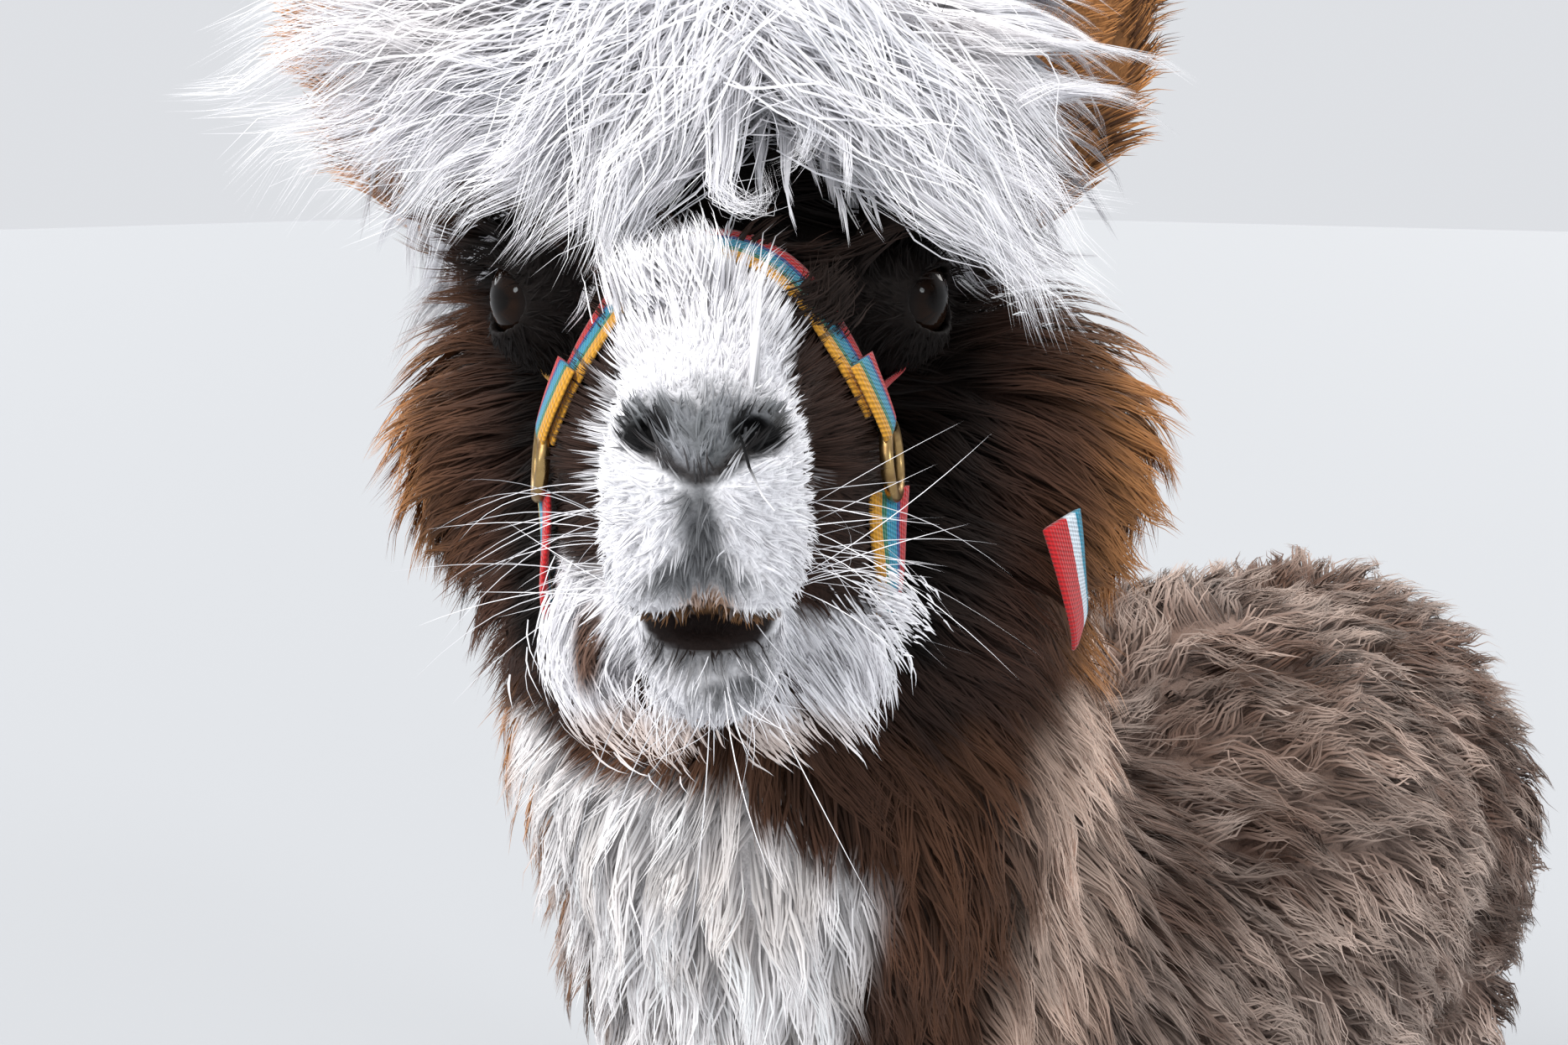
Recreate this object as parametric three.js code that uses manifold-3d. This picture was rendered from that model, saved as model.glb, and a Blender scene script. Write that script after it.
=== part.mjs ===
// A huacaya alpaca, standing, with its neck stretched forward and its head turned to its left,
// in a woven halter. Millimetres, +Z up, nose towards -Y, +X on the animal's left.
// Every fleshy part is a closed mesh drawn round a smooth field, out to the tips of the coat.
import * as THREE from "three";
import { mergeVertices } from "three/addons/utils/BufferGeometryUtils.js";
import Module from "manifold-3d";

const wasm = await Module();
wasm.setup();

// ---------- driving dimensions ----------
const BACK_HEIGHT = 852; // floor to the top of the fleece
const TRUNK_RADIUS = 214; // half the depth of the barrel, with its fleece
const TRUNK_FLATTEN = 0.9; // the barrel's width over its depth
const SHOULDER_Y = -235;
const HIP_Y = 265;
const FORE_FOOT = { x: 92, y: -262 };
const HIND_FOOT = { x: 104, y: 318 };
const TOE_SPREAD = 17; // from the middle of a foot to the middle of a toe
const HEAD_PLACE = new THREE.Vector3(150, -620, 1100); // midway between the eyes
const HEAD_TURN = 41; // degrees, to the animal's left
const EYE_RADIUS = 17.5;
const EYE = new THREE.Vector3(52, 6, 0); // in the head's own frame
const EAR_HALF_WIDTH = 30;
const WEBBING_WIDTH = 19;
const WEBBING_THICKNESS = 2.4;
const RING_RADIUS = 10.5;
const RING_WIRE = 2;
const GAP = 0.4; // left between pieces that touch

// ---------- fields: below 0 inside a form, above 0 outside it ----------
const point = (x, y, z) => new THREE.Vector3(x, y, z);

/** A ball with its own radius along each axis. */
function ball(centre, radii) {
  const c = point(...centre);
  const r = point(...radii);
  return (p) => {
    const q = p.clone().sub(c).divide(r);
    const near = q.length();
    const far = q.divide(r).length();
    return far > 0 ? (near * (near - 1)) / far : -Math.min(r.x, r.y, r.z);
  };
}

/** A limb between two points, with a radius at each; flatten narrows it across X. */
function limb(from, fromRadius, to, toRadius, flatten = 1) {
  const squash = point(1 / flatten, 1, 1);
  const a = point(...from).multiply(squash);
  const run = point(...to).multiply(squash).sub(a);
  return (p) => {
    const q = p.clone().multiply(squash).sub(a);
    const t = THREE.MathUtils.clamp(q.dot(run) / run.lengthSq(), 0, 1);
    const radius = THREE.MathUtils.lerp(fromRadius, toRadius, t);
    return q.addScaledVector(run, -t).length() - radius;
  };
}

/** Forms joined with a fillet of about the given size. */
function blend(fillet, ...forms) {
  return (p) =>
    forms.map((form) => form(p)).reduce((a, b) => {
      const h = Math.max(fillet - Math.abs(a - b), 0) / fillet;
      return Math.min(a, b) - (h * h * fillet) / 4;
    });
}

/** A form on both sides of the middle plane. */
const paired = (form) => (p) => form(point(Math.abs(p.x), p.y, p.z));

// ---------- meshes drawn round a field ----------
/** How far a ray from inside a field goes before it leaves the field. */
function reach(field, from, way, level) {
  let near = 0;
  let far = 0;
  const value = (r) => field(from.clone().addScaledVector(way, r)) - level;
  if (value(0) >= 0) throw new Error(`a ray starts outside its form at ${from.toArray()}`);
  for (let d = value(0); d < 0; d = value(far)) {
    near = far;
    far += Math.max(1.5, -d * 0.7);
  }
  for (let i = 0; i < 20; i += 1) {
    const middle = (near + far) / 2;
    if (value(middle) < 0) near = middle;
    else far = middle;
  }
  return far;
}

/**
 * A closed skin round a field: rings of rays that leave a centre line at right angles, with a fan
 * of leaning rings over each round end. flatEnd closes the far end with a plane instead.
 */
function sleeve(field, { line, across, along: given, columns, rows, capRows, level = 0, flatEnd = false }) {
  const centres = line.map((c) => point(...c));
  const route = new THREE.CatmullRomCurve3(centres);
  const along = given ? point(...given) : centres.at(-1).clone().sub(centres[0]).normalize();
  const side = point(...across).addScaledVector(along, -along.dot(point(...across))).normalize();
  const other = along.clone().cross(side);
  const rings = [];
  for (let i = 1; i < capRows; i += 1) rings.push({ t: 0, lean: -90 + (90 * i) / capRows });
  for (let i = 0; i <= rows; i += 1) rings.push({ t: i / rows, lean: 0 });
  if (!flatEnd) {
    for (let i = 1; i < capRows; i += 1) rings.push({ t: 1, lean: (90 * i) / capRows });
  }
  const places = [];
  const add = (from, way) => places.push(from.clone().addScaledVector(way, reach(field, from, way, level)));
  add(route.getPoint(0), along.clone().negate());
  for (const { t, lean } of rings) {
    const from = route.getPoint(t);
    const tilt = THREE.MathUtils.degToRad(lean);
    for (let j = 0; j < columns; j += 1) {
      const turn = (2 * Math.PI * j) / columns;
      const out = side.clone().multiplyScalar(Math.cos(turn)).addScaledVector(other, Math.sin(turn));
      add(from, out.multiplyScalar(Math.cos(tilt)).addScaledVector(along, Math.sin(tilt)));
    }
  }
  if (flatEnd) places.push(route.getPoint(1));
  else add(route.getPoint(1), along);

  const last = places.length - 1;
  const at = (ring, column) => 1 + ring * columns + (column % columns);
  const faces = [];
  for (let j = 0; j < columns; j += 1) {
    faces.push(0, at(0, j + 1), at(0, j));
    for (let i = 0; i + 1 < rings.length; i += 1) {
      faces.push(at(i, j), at(i, j + 1), at(i + 1, j));
      faces.push(at(i, j + 1), at(i + 1, j + 1), at(i + 1, j));
    }
    faces.push(last, at(rings.length - 1, j), at(rings.length - 1, j + 1));
  }
  return new THREE.BufferGeometry().setFromPoints(places).setIndex(faces);
}

// ---------- joins and cuts ----------
function solid(geometry) {
  const bare = new THREE.BufferGeometry().setAttribute("position", geometry.getAttribute("position"));
  const merged = mergeVertices(bare.setIndex(geometry.getIndex()), 1e-3);
  return new wasm.Manifold(
    new wasm.Mesh({
      numProp: 3,
      vertProperties: merged.getAttribute("position").array,
      triVerts: new Uint32Array(merged.getIndex().array),
    }),
  );
}

function geometryOf(made) {
  const mesh = made.getMesh();
  return new THREE.BufferGeometry()
    .setAttribute("position", new THREE.BufferAttribute(mesh.vertProperties, 3))
    .setIndex(new THREE.BufferAttribute(mesh.triVerts, 1));
}

/** A geometry less some others; only its largest piece is kept. */
function cut(geometry, ...cutters) {
  const made = cutters.reduce((whole, cutter) => whole.subtract(solid(cutter)), solid(geometry));
  const pieces = made.decompose().sort((a, b) => b.volume() - a.volume());
  return geometryOf(pieces[0]);
}

// ---------- the head, in its own frame: nose towards -Y, origin between the eyes ----------
const skull = blend(
  14,
  ball([0, 70, -4], [60, 80, 60]), // brain case
  paired(ball([38, 15, 1], [27, 30, 27])), // brow and eye socket
  limb([0, -6, -17], 36, [0, -80, -34], 26, 0.95), // bridge of the nose
  ball([0, -88, -38], [23.5, 26, 24]), // end of the muzzle
  ball([0, -103, -29], [20, 14, 16]), // nose pad
  paired(ball([12, -90, -56], [14, 19, 17])), // split upper lip
  limb([0, 42, -72], 40, [0, -56, -82], 20, 0.95), // lower jaw
  ball([0, -74, -89], [18, 20, 17]), // chin
  paired(ball([25, -12, -52], [24, 42, 42])), // side of the face
  paired(ball([28, -32, -84], [19, 24, 22])), // wool at the corner of the jaw
);
const headCoat = blend(
  20,
  skull,
  ball([-64, 66, -54], [58, 54, 66]), // cheek wool on the right
  ball([86, 70, -60], [74, 58, 72]), // on the left it is fuller, where the neck bends
  ball([-44, 44, -100], [46, 46, 42]), // wool under the jaw
  ball([60, 44, -104], [56, 48, 46]),
);
const HEAD_SLEEVE = {
  line: [
    [0, -80, -56],
    [0, 62, -42],
  ],
  across: [1, 0, 0],
  columns: 32,
  rows: 12,
  capRows: 7,
};

const crown = blend(
  20,
  ball([0, 52, 56], [120, 86, 80]), // dome over the poll
  ball([-88, 8, 54], [54, 40, 31]), // right-hand fringe, over the eye
  ball([-34, -4, 40], [30, 34, 27]),
  ball([96, 10, 34], [46, 40, 42]), // left-hand fringe, which falls lower outside the eye
  ball([50, 2, 50], [40, 38, 31]),
  ball([6, -14, 58], [28, 24, 24]), // curl at the parting
);
const LOCK_WIDTH = 24;
const LOCK_DEPTH = 3;
const lockRelief = (p) => LOCK_DEPTH * Math.cos((2 * Math.PI * (p.x + 0.25 * p.y)) / LOCK_WIDTH);
const TOPKNOT_SLEEVE = {
  line: [
    [-80, 22, 54],
    [80, 22, 50],
  ],
  across: [0, 1, 0],
  columns: 18,
  rows: 15,
  capRows: 4,
};

/** A spear-shaped ear that leans out and curves in at its tip: hollow in front and round behind. */
function ear(side) {
  const spine = new THREE.QuadraticBezierCurve3(point(70, 84, 8), point(138, 92, 62), point(124, 102, 168));
  const rows = 10;
  const columns = 4;
  const hollow = 8;
  const thick = 12;
  const places = [spine.getPoint(0), spine.getPoint(1)];
  for (let i = 1; i < rows; i += 1) {
    const t = i / rows;
    const centre = spine.getPoint(t);
    const up = spine.getTangent(t);
    const out = point(1, 0.35, 0).addScaledVector(up, -up.dot(point(1, 0.35, 0))).normalize();
    const back = out.clone().cross(up).negate();
    const half = EAR_HALF_WIDTH * Math.sin(Math.PI * t ** 0.8) ** 0.75;
    const body = thick * Math.sin(Math.PI * t) ** 0.5;
    for (let j = 0; j < 2 * columns; j += 1) {
      const s = Math.cos((Math.PI * j) / columns);
      const rise = j > 0 && j < columns ? body : 0;
      const bow = (rise - hollow) * (1 - s * s);
      places.push(centre.clone().addScaledVector(out, half * s).addScaledVector(back, bow));
    }
  }
  const ring = 2 * columns;
  const at = (i, j) => 2 + (i - 1) * ring + (j % ring);
  const faces = [];
  for (let j = 0; j < ring; j += 1) {
    faces.push(0, at(1, j), at(1, j + 1));
    for (let i = 1; i + 1 < rows; i += 1) {
      faces.push(at(i, j), at(i + 1, j), at(i, j + 1));
      faces.push(at(i, j + 1), at(i + 1, j), at(i + 1, j + 1));
    }
    faces.push(1, at(rows - 1, j + 1), at(rows - 1, j));
  }
  const made = new THREE.BufferGeometry().setFromPoints(places).setIndex(faces);
  return outward(side < 0 ? made.scale(-1, 1, 1) : made);
}

/** The same mesh with its faces turned to point out, if they point in. */
function outward(geometry) {
  const place = geometry.getAttribute("position");
  const index = geometry.getIndex().array;
  const corner = (i) => new THREE.Vector3().fromBufferAttribute(place, index[i]);
  let volume = 0;
  for (let i = 0; i < index.length; i += 3) volume += corner(i).dot(corner(i + 1).cross(corner(i + 2)));
  if (volume < 0) geometry.setIndex([...index].reverse());
  return geometry;
}

const eyeball = (side, grow = 0) =>
  new THREE.SphereGeometry(EYE_RADIUS + grow, 12, 8).translate(side * EYE.x, EYE.y, EYE.z);

function nostril(side) {
  return new THREE.SphereGeometry(1, 10, 6)
    .scale(5, 9, 6)
    .rotateY(side * 0.5)
    .rotateZ(side * 0.5)
    .translate(side * 13, -112, -25);
}

/** The parted lips: a curved slot round the front of the muzzle. */
function mouthSlot() {
  const smile = new THREE.Shape();
  const halfWidth = 27;
  smile.absarc(0, 0, halfWidth, Math.PI, 2 * Math.PI, false);
  smile.absarc(0, 0, halfWidth - 8, 2 * Math.PI, Math.PI, true);
  smile.closePath();
  return new THREE.ExtrudeGeometry(smile, { depth: 2, bevelEnabled: false, curveSegments: 8 }).translate(0, -80, -75);
}

// ---------- the halter: flat webbing laid on the face ----------
function slope(field, p) {
  const step = 0.5;
  const rise = (x, y, z) => field(p.clone().add(point(x, y, z))) - field(p.clone().sub(point(x, y, z)));
  return point(rise(step, 0, 0), rise(0, step, 0), rise(0, 0, step)).normalize();
}

/** The nearest point at a height above the field's surface, for a point that starts close to it. */
function settle(field, p, height) {
  for (let i = 0; i < 6; i += 1) p.addScaledVector(slope(field, p), height - field(p));
  return p;
}

/** A flat band that follows a field's surface through a row of points near it. */
function webbing(field, near, { height = 1.2, steps = 12, width = WEBBING_WIDTH } = {}) {
  const route = new THREE.CatmullRomCurve3(near.map((p) => settle(field, point(...p), height)));
  const stations = route.getPoints(steps).map((p) => settle(field, p, height));
  const places = [];
  stations.forEach((p, i) => {
    const ahead = stations[Math.min(i + 1, steps)].clone().sub(stations[Math.max(i - 1, 0)]).normalize();
    const out = slope(field, p);
    const wide = ahead.cross(out).normalize().multiplyScalar(width / 2);
    for (const edge of [-1, 1]) {
      const low = settle(field, p.clone().addScaledVector(wide, edge), height);
      places.push(low, low.clone().addScaledVector(out, WEBBING_THICKNESS));
    }
  });
  const faces = [0, 1, 3, 0, 3, 2];
  const loop = [0, 1, 3, 2];
  for (let i = 0; i < steps; i += 1) {
    for (let j = 0; j < 4; j += 1) {
      const here = i * 4 + loop[j];
      const next = i * 4 + loop[(j + 1) % 4];
      faces.push(here, here + 4, next, next, here + 4, next + 4);
    }
  }
  const end = steps * 4;
  faces.push(end, end + 3, end + 1, end, end + 2, end + 3);
  return outward(new THREE.BufferGeometry().setFromPoints(places).setIndex(faces));
}

const RING_PLACE = point(53, -27, -43);
const besideRing = (side, up, back) => [side * RING_PLACE.x, RING_PLACE.y + back, RING_PLACE.z + up];
const ringAt = (side) => settle(skull, point(side * RING_PLACE.x, RING_PLACE.y, RING_PLACE.z), 3.4);

function ring(side) {
  const facing = slope(skull, ringAt(side));
  const turn = new THREE.Quaternion().setFromUnitVectors(point(0, 0, 1), facing);
  return new THREE.TorusGeometry(RING_RADIUS, RING_WIRE, 6, 14)
    .applyQuaternion(turn)
    .translate(...ringAt(side).toArray());
}

const headMatrix = new THREE.Matrix4()
  .makeRotationZ(THREE.MathUtils.degToRad(HEAD_TURN))
  .setPosition(HEAD_PLACE);

// ---------- neck, trunk and tail, in the body's frame ----------
const spineHeight = BACK_HEIGHT - TRUNK_RADIUS;
const neckTop = point(6, 120, -80).applyMatrix4(headMatrix);
const NECK_LINE = [[0, SHOULDER_Y - 20, spineHeight + 10], [42, -425, 806], [82, -500, 925], neckTop.toArray()];
const TAIL_LINE = [
  [0, 412, 730],
  [0, 450, 566],
];

const trunkForm = blend(
  60,
  limb([0, SHOULDER_Y, spineHeight - 6], TRUNK_RADIUS - 8, [0, 0, spineHeight], TRUNK_RADIUS, TRUNK_FLATTEN),
  limb([0, 0, spineHeight], TRUNK_RADIUS, [0, HIP_Y - 40, spineHeight - 8], TRUNK_RADIUS - 10, TRUNK_FLATTEN),
  ball([0, HIP_Y, spineHeight - 20], [158, 165, 180]), // rounded rump
  ball([0, SHOULDER_Y - 60, spineHeight - 40], [150, 140, 165]), // breast
);
const neckForm = blend(
  60,
  limb(NECK_LINE[0], 168, NECK_LINE[1], 130),
  limb(NECK_LINE[1], 130, NECK_LINE[2], 116),
  limb(NECK_LINE[2], 116, NECK_LINE[3], 96),
);
const tailForm = blend(
  20,
  limb([0, 398, 742], 46, [0, 436, 660], 50, 0.95),
  limb([0, 436, 660], 50, [0, 452, 556], 26, 0.95),
);
const TRUNK_SLEEVE = {
  line: [
    [0, SHOULDER_Y - 40, spineHeight - 20],
    [0, HIP_Y + 20, spineHeight - 14],
  ],
  across: [1, 0, 0],
  columns: 20,
  rows: 7,
  capRows: 5,
};
const NECK_SLEEVE = { line: NECK_LINE, across: [1, 0, 0], columns: 18, rows: 6, capRows: 3 };
const TAIL_SLEEVE = { line: TAIL_LINE, across: [1, 0, 0], columns: 10, rows: 4, capRows: 3 };

// ---------- legs ----------
const toes = (foot) => {
  const toe = ball([TOE_SPREAD, foot.y - 30, 17], [17.5, 36, 25]);
  return (p) => toe(point(Math.abs(p.x - foot.x), p.y, p.z));
};
const foreLegForm = blend(
  26,
  limb([94, -262, 600], 104, [92, -238, 470], 88, 0.8),
  limb([92, -238, 470], 88, [92, -258, 285], 57, 0.9),
  limb([92, -258, 285], 57, [FORE_FOOT.x, FORE_FOOT.y + 4, 84], 42),
  limb([FORE_FOOT.x, FORE_FOOT.y + 4, 84], 38, [FORE_FOOT.x, FORE_FOOT.y - 14, 26], 25),
  toes(FORE_FOOT),
);
const hindLegForm = blend(
  26,
  limb([100, 262, 610], 126, [103, 225, 470], 110, 0.74),
  limb([103, 225, 470], 110, [104, 338, 310], 56, 0.82),
  limb([104, 338, 310], 56, [HIND_FOOT.x, HIND_FOOT.y + 6, 86], 41),
  limb([HIND_FOOT.x, HIND_FOOT.y + 6, 86], 38, [HIND_FOOT.x, HIND_FOOT.y - 14, 26], 25),
  toes(HIND_FOOT),
);
const FORE_LINE = [
  [92, -262, 590],
  [92, -240, 470],
  [92, -256, 285],
  [92, FORE_FOOT.y + 2, 90],
  [92, FORE_FOOT.y - 22, 0],
];
const HIND_LINE = [
  [102, 262, 600],
  [103, 245, 470],
  [104, 325, 315],
  [104, HIND_FOOT.y + 4, 90],
  [104, HIND_FOOT.y - 22, 0],
];
const LEG_SLEEVE = { along: [0, 0, -1], across: [1, 0, 0], columns: 12, rows: 10, capRows: 2, flatEnd: true };

function leg(form, line, side, level = 0) {
  const made = sleeve(form, { ...LEG_SLEEVE, line, level });
  return outward(side < 0 ? made.scale(-1, 1, 1) : made);
}

/** A toenail: a small blunt hook over the tip of one toe. */
function toenail(foot, side, toe) {
  return new THREE.SphereGeometry(1, 7, 5)
    .scale(8.5, 16, 9)
    .rotateX(0.35)
    .translate(side * (foot.x + toe * TOE_SPREAD), foot.y - 60, 15);
}

// ---------- the whole animal ----------
const body = new THREE.Group();
const head = new THREE.Group();
headMatrix.decompose(head.position, head.quaternion, head.scale);
body.add(head);

const PAINTS = {
  wool_brown: { color: 0x3b2418, roughness: 0.95 },
  wool_white: { color: 0xe9e6e4, roughness: 0.95 },
  eye: { color: 0x090504, roughness: 0.08 },
  nail: { color: 0x2b211b, roughness: 0.55 },
  webbing: { color: 0xb5202a, roughness: 0.85 },
  brass: { color: 0xb08a3e, roughness: 0.35, metalness: 1 },
};
const materials = Object.fromEntries(
  Object.entries(PAINTS).map(([name, look]) => [name, new THREE.MeshStandardMaterial({ metalness: 0, ...look })]),
);
function node(group, name, geometry, paint) {
  const mesh = new THREE.Mesh(geometry, materials[paint]);
  mesh.name = name;
  group.add(mesh);
}

const SIDES = { left: 1, right: -1 };
const sides = Object.values(SIDES);
const skinned = (form, plan, level = 0) => outward(sleeve(form, { ...plan, level }));

// head
const headGrown = skinned(headCoat, HEAD_SLEEVE, GAP);
const topknotForm = (p) => crown(p) + lockRelief(p);
const topknotGrown = skinned(topknotForm, TOPKNOT_SLEEVE, GAP);
const sockets = sides.map((side) => eyeball(side, GAP));
node(head, "head", cut(skinned(headCoat, HEAD_SLEEVE), ...sockets, ...sides.map(nostril), mouthSlot()), "wool_brown");
node(head, "topknot", cut(skinned(topknotForm, TOPKNOT_SLEEVE), headGrown, ...sockets), "wool_white");
for (const [name, side] of Object.entries(SIDES)) {
  node(head, `eye_${name}`, eyeball(side), "eye");
  node(head, `ear_${name}`, cut(ear(side), topknotGrown, headGrown), "wool_brown");
}

// halter
const overNose = webbing(
  skull,
  [besideRing(-1, 15, -3), [-36, -31, -8], [-20, -27, 14], [0, -24, 20], [20, -27, 14], [36, -31, -8], besideRing(1, 15, -3)],
  { steps: 22 },
);
node(head, "halter_noseband", cut(overNose, headGrown, topknotGrown), "webbing");
for (const [name, side] of Object.entries(SIDES)) {
  const underJaw = webbing(skull, [besideRing(side, -14, 0), [side * 50, -27, -72], [side * 47, -28, -90]], { steps: 6 });
  const cheek = webbing(skull, [besideRing(side, 3, 14), [side * 56, 8, -34], [side * 58, 26, -28]], { steps: 6 });
  node(head, `halter_jaw_strap_${name}`, cut(underJaw, headGrown), "webbing");
  node(head, `halter_cheek_strap_${name}`, cut(cheek, headGrown, topknotGrown, eyeball(side, GAP)), "webbing");
  node(head, `halter_ring_${name}`, ring(side), "brass");
}
const looseEnd = webbing(headCoat, [[108, 16, -70], [117, 16, -94], [121, 22, -120]], { steps: 8 });
node(head, "halter_loose_end", cut(looseEnd, headGrown), "webbing");

// body
const trunkGrown = skinned(trunkForm, TRUNK_SLEEVE, GAP);
const legsGrown = sides.flatMap((side) => [
  leg(foreLegForm, FORE_LINE, side, GAP),
  leg(hindLegForm, HIND_LINE, side, GAP),
]);
const inBody = (geometry) => geometry.clone().applyMatrix4(headMatrix);
const headPieces = [headGrown, topknotGrown, ...sides.map(ear)].map(inBody);
node(body, "trunk", cut(skinned(trunkForm, TRUNK_SLEEVE), ...legsGrown), "wool_brown");
node(body, "neck", cut(skinned(neckForm, NECK_SLEEVE), trunkGrown, ...headPieces), "wool_brown");
node(body, "tail", cut(skinned(tailForm, TAIL_SLEEVE), trunkGrown), "wool_brown");
const LIMBS = {
  fore: { form: foreLegForm, line: FORE_LINE, foot: FORE_FOOT },
  hind: { form: hindLegForm, line: HIND_LINE, foot: HIND_FOOT },
};
for (const [name, side] of Object.entries(SIDES)) {
  for (const [which, { form, line, foot }] of Object.entries(LIMBS)) {
    node(body, `${which}leg_${name}`, leg(form, line, side), "wool_brown");
    const grown = leg(form, line, side, GAP);
    node(body, `nail_${which}_${name}_inner`, cut(toenail(foot, side, -1), grown), "nail");
    node(body, `nail_${which}_${name}_outer`, cut(toenail(foot, side, 1), grown), "nail");
  }
}

// the origin is on the floor, under the middle of the whole
const bounds = new THREE.Box3().setFromObject(body, true);
const middle = bounds.getCenter(point(0, 0, 0));
body.position.set(-middle.x, -middle.y, -bounds.min.z);

const alpaca = new THREE.Group();
alpaca.add(body);
export default alpaca;
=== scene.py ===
"""The looks of a life-size huacaya alpaca in a woven halter: skin, fleece, eyes, halter and light."""
import math

import bpy
import numpy as np
from mathutils import Matrix, Vector
from mathutils.kdtree import KDTree


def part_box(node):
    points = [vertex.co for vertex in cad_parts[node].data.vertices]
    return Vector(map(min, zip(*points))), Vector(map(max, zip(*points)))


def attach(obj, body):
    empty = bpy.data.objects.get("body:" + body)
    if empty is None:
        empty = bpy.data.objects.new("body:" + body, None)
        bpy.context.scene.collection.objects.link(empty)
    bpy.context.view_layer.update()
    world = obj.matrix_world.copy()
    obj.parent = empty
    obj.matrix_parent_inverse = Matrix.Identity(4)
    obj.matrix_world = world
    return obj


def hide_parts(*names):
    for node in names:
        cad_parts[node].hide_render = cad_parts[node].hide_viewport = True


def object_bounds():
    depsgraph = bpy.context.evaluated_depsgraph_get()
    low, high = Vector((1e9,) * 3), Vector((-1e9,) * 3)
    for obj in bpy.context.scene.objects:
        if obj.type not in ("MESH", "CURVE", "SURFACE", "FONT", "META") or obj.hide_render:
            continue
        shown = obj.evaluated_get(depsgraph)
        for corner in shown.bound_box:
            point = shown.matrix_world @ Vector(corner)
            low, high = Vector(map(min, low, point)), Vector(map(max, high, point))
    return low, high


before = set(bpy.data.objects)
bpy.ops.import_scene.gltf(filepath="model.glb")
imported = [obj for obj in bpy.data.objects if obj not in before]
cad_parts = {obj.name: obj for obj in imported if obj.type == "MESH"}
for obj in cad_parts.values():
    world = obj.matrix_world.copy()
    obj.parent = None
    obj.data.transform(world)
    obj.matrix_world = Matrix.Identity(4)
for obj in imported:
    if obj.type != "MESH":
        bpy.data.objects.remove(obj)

cad_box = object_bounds()
MM = 0.001
SIDES = {"left": 1, "right": -1}

# ---------- places taken from the frame, in millimetres ----------
eye_middle = {side: sum(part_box(f"eye_{side}"), Vector()) / 2 for side in SIDES}
EYES = np.array((eye_middle["left"] + eye_middle["right"]) / 2) / MM
ACROSS = np.array((eye_middle["left"] - eye_middle["right"]).normalized())
HEAD_AXES = np.array([ACROSS, [-ACROSS[1], ACROSS[0], 0], [0, 0, 1]])
EYES_FROM_BODY = np.array([150, -620, 1100])  # where the head is carried, from the body's own origin
BODY = EYES - EYES_FROM_BODY

EYE = np.array([52, 6, 0])
EYE_RADIUS = 17.5
BACK_HEIGHT = 852
TRUNK_RADIUS = 214
SPINE = BACK_HEIGHT - TRUNK_RADIUS
SHOULDER_Y, HIP_Y = -235, 265
FORE_FOOT_X, HIND_FOOT_X = 92, 104
FORE_FOOT_Y, HIND_FOOT_Y = -262, 318

# how deep the coat stands over the skin, in millimetres
DEPTH = {
    "face": 2.5, "cheek": 26, "jaw": 20, "crown": 36, "neck": 30, "trunk": 30, "tail": 20,
    "thigh": 26, "shin": 15, "pastern": 8, "foot": 3,
}


# ---------- small vector helpers: arrays of points, one per row ----------
def unit(v):
    return v / np.maximum(np.linalg.norm(v, axis=-1, keepdims=True), 1e-9)


def to_head(p):
    """Points in the head's own axes: to its left, back, and up, from between its eyes."""
    return (p - EYES) @ HEAD_AXES.T


def from_head(p):
    return np.asarray(p, float) @ HEAD_AXES + EYES


def to_body(p):
    """Points in the body's own axes, from the ground below its middle."""
    return p - BODY


def one_sided(h):
    """Points of the head with its right half folded over on to its left."""
    return np.concatenate([np.abs(h[:, :1]), h[:, 1:]], 1)


def smoothstep(low, high, x):
    """0 at low and 1 at high, with an easy change between them."""
    t = np.clip((x - low) / (high - low), 0, 1)
    return t * t * (3 - 2 * t)


def bump(x, middle, width):
    """1 in the middle, falling to 0 at a width either side."""
    return np.clip(1 - ((x - middle) / width) ** 2, 0, 1) ** 2


def hashed(cell, seed):
    """A value from 0 to 1 that looks random, the same each time for the same cell and seed."""
    n = (cell @ np.array([127.1, 311.7, 74.7])) + seed * 53.3
    return np.modf(np.abs(np.sin(n) * 43758.5453))[0]


def noise(p, size, seed=0):
    """Smooth noise from -1 to 1 that varies over about the given size."""
    q = np.asarray(p, float) / size
    cell = np.floor(q)
    f = q - cell
    f = f * f * (3 - 2 * f)
    total = np.zeros(len(q))
    for corner in np.ndindex(2, 2, 2):
        weight = np.prod(np.where(corner, f, 1 - f), axis=1)
        total += weight * hashed(cell + corner, seed)
    return total * 2 - 1


# ---------- forms: below 0 inside, above 0 outside, in millimetres ----------
def ball(centre, radii, depth=0):
    """A ball or egg, shrunk by a depth."""
    c, r = np.array(centre, np.float32), np.array(radii, np.float32)

    def form(p):
        q = (p - c) / r
        near = np.linalg.norm(q, axis=1)
        far = np.linalg.norm(q / r, axis=1)
        return near * (near - 1) / np.maximum(far, 1e-6) + depth

    return form


def limb(start, start_radius, end, end_radius, flatten=1, depth=0):
    """A rod that tapers from one ball to another, narrower from side to side where flatten is below 1."""
    squash = np.array([1 / flatten, 1, 1], np.float32)
    a = np.array(start, np.float32) * squash
    run = np.array(end, np.float32) * squash - a

    def form(p):
        q = p * squash - a
        t = np.clip(q @ run / (run @ run), 0, 1)
        radius = start_radius + (end_radius - start_radius) * t
        return np.linalg.norm(q - t[:, None] * run, axis=1) - radius + depth

    return form


def blend(fillet, *forms):
    """Forms joined, with a fillet of the given size where they meet."""

    def form(p):
        total = forms[0](p)
        for other in forms[1:]:
            value = other(p)
            h = np.maximum(fillet - np.abs(total - value), 0) / fillet
            total = np.minimum(total, value) - h * h * fillet / 4
        return total

    return form


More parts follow.
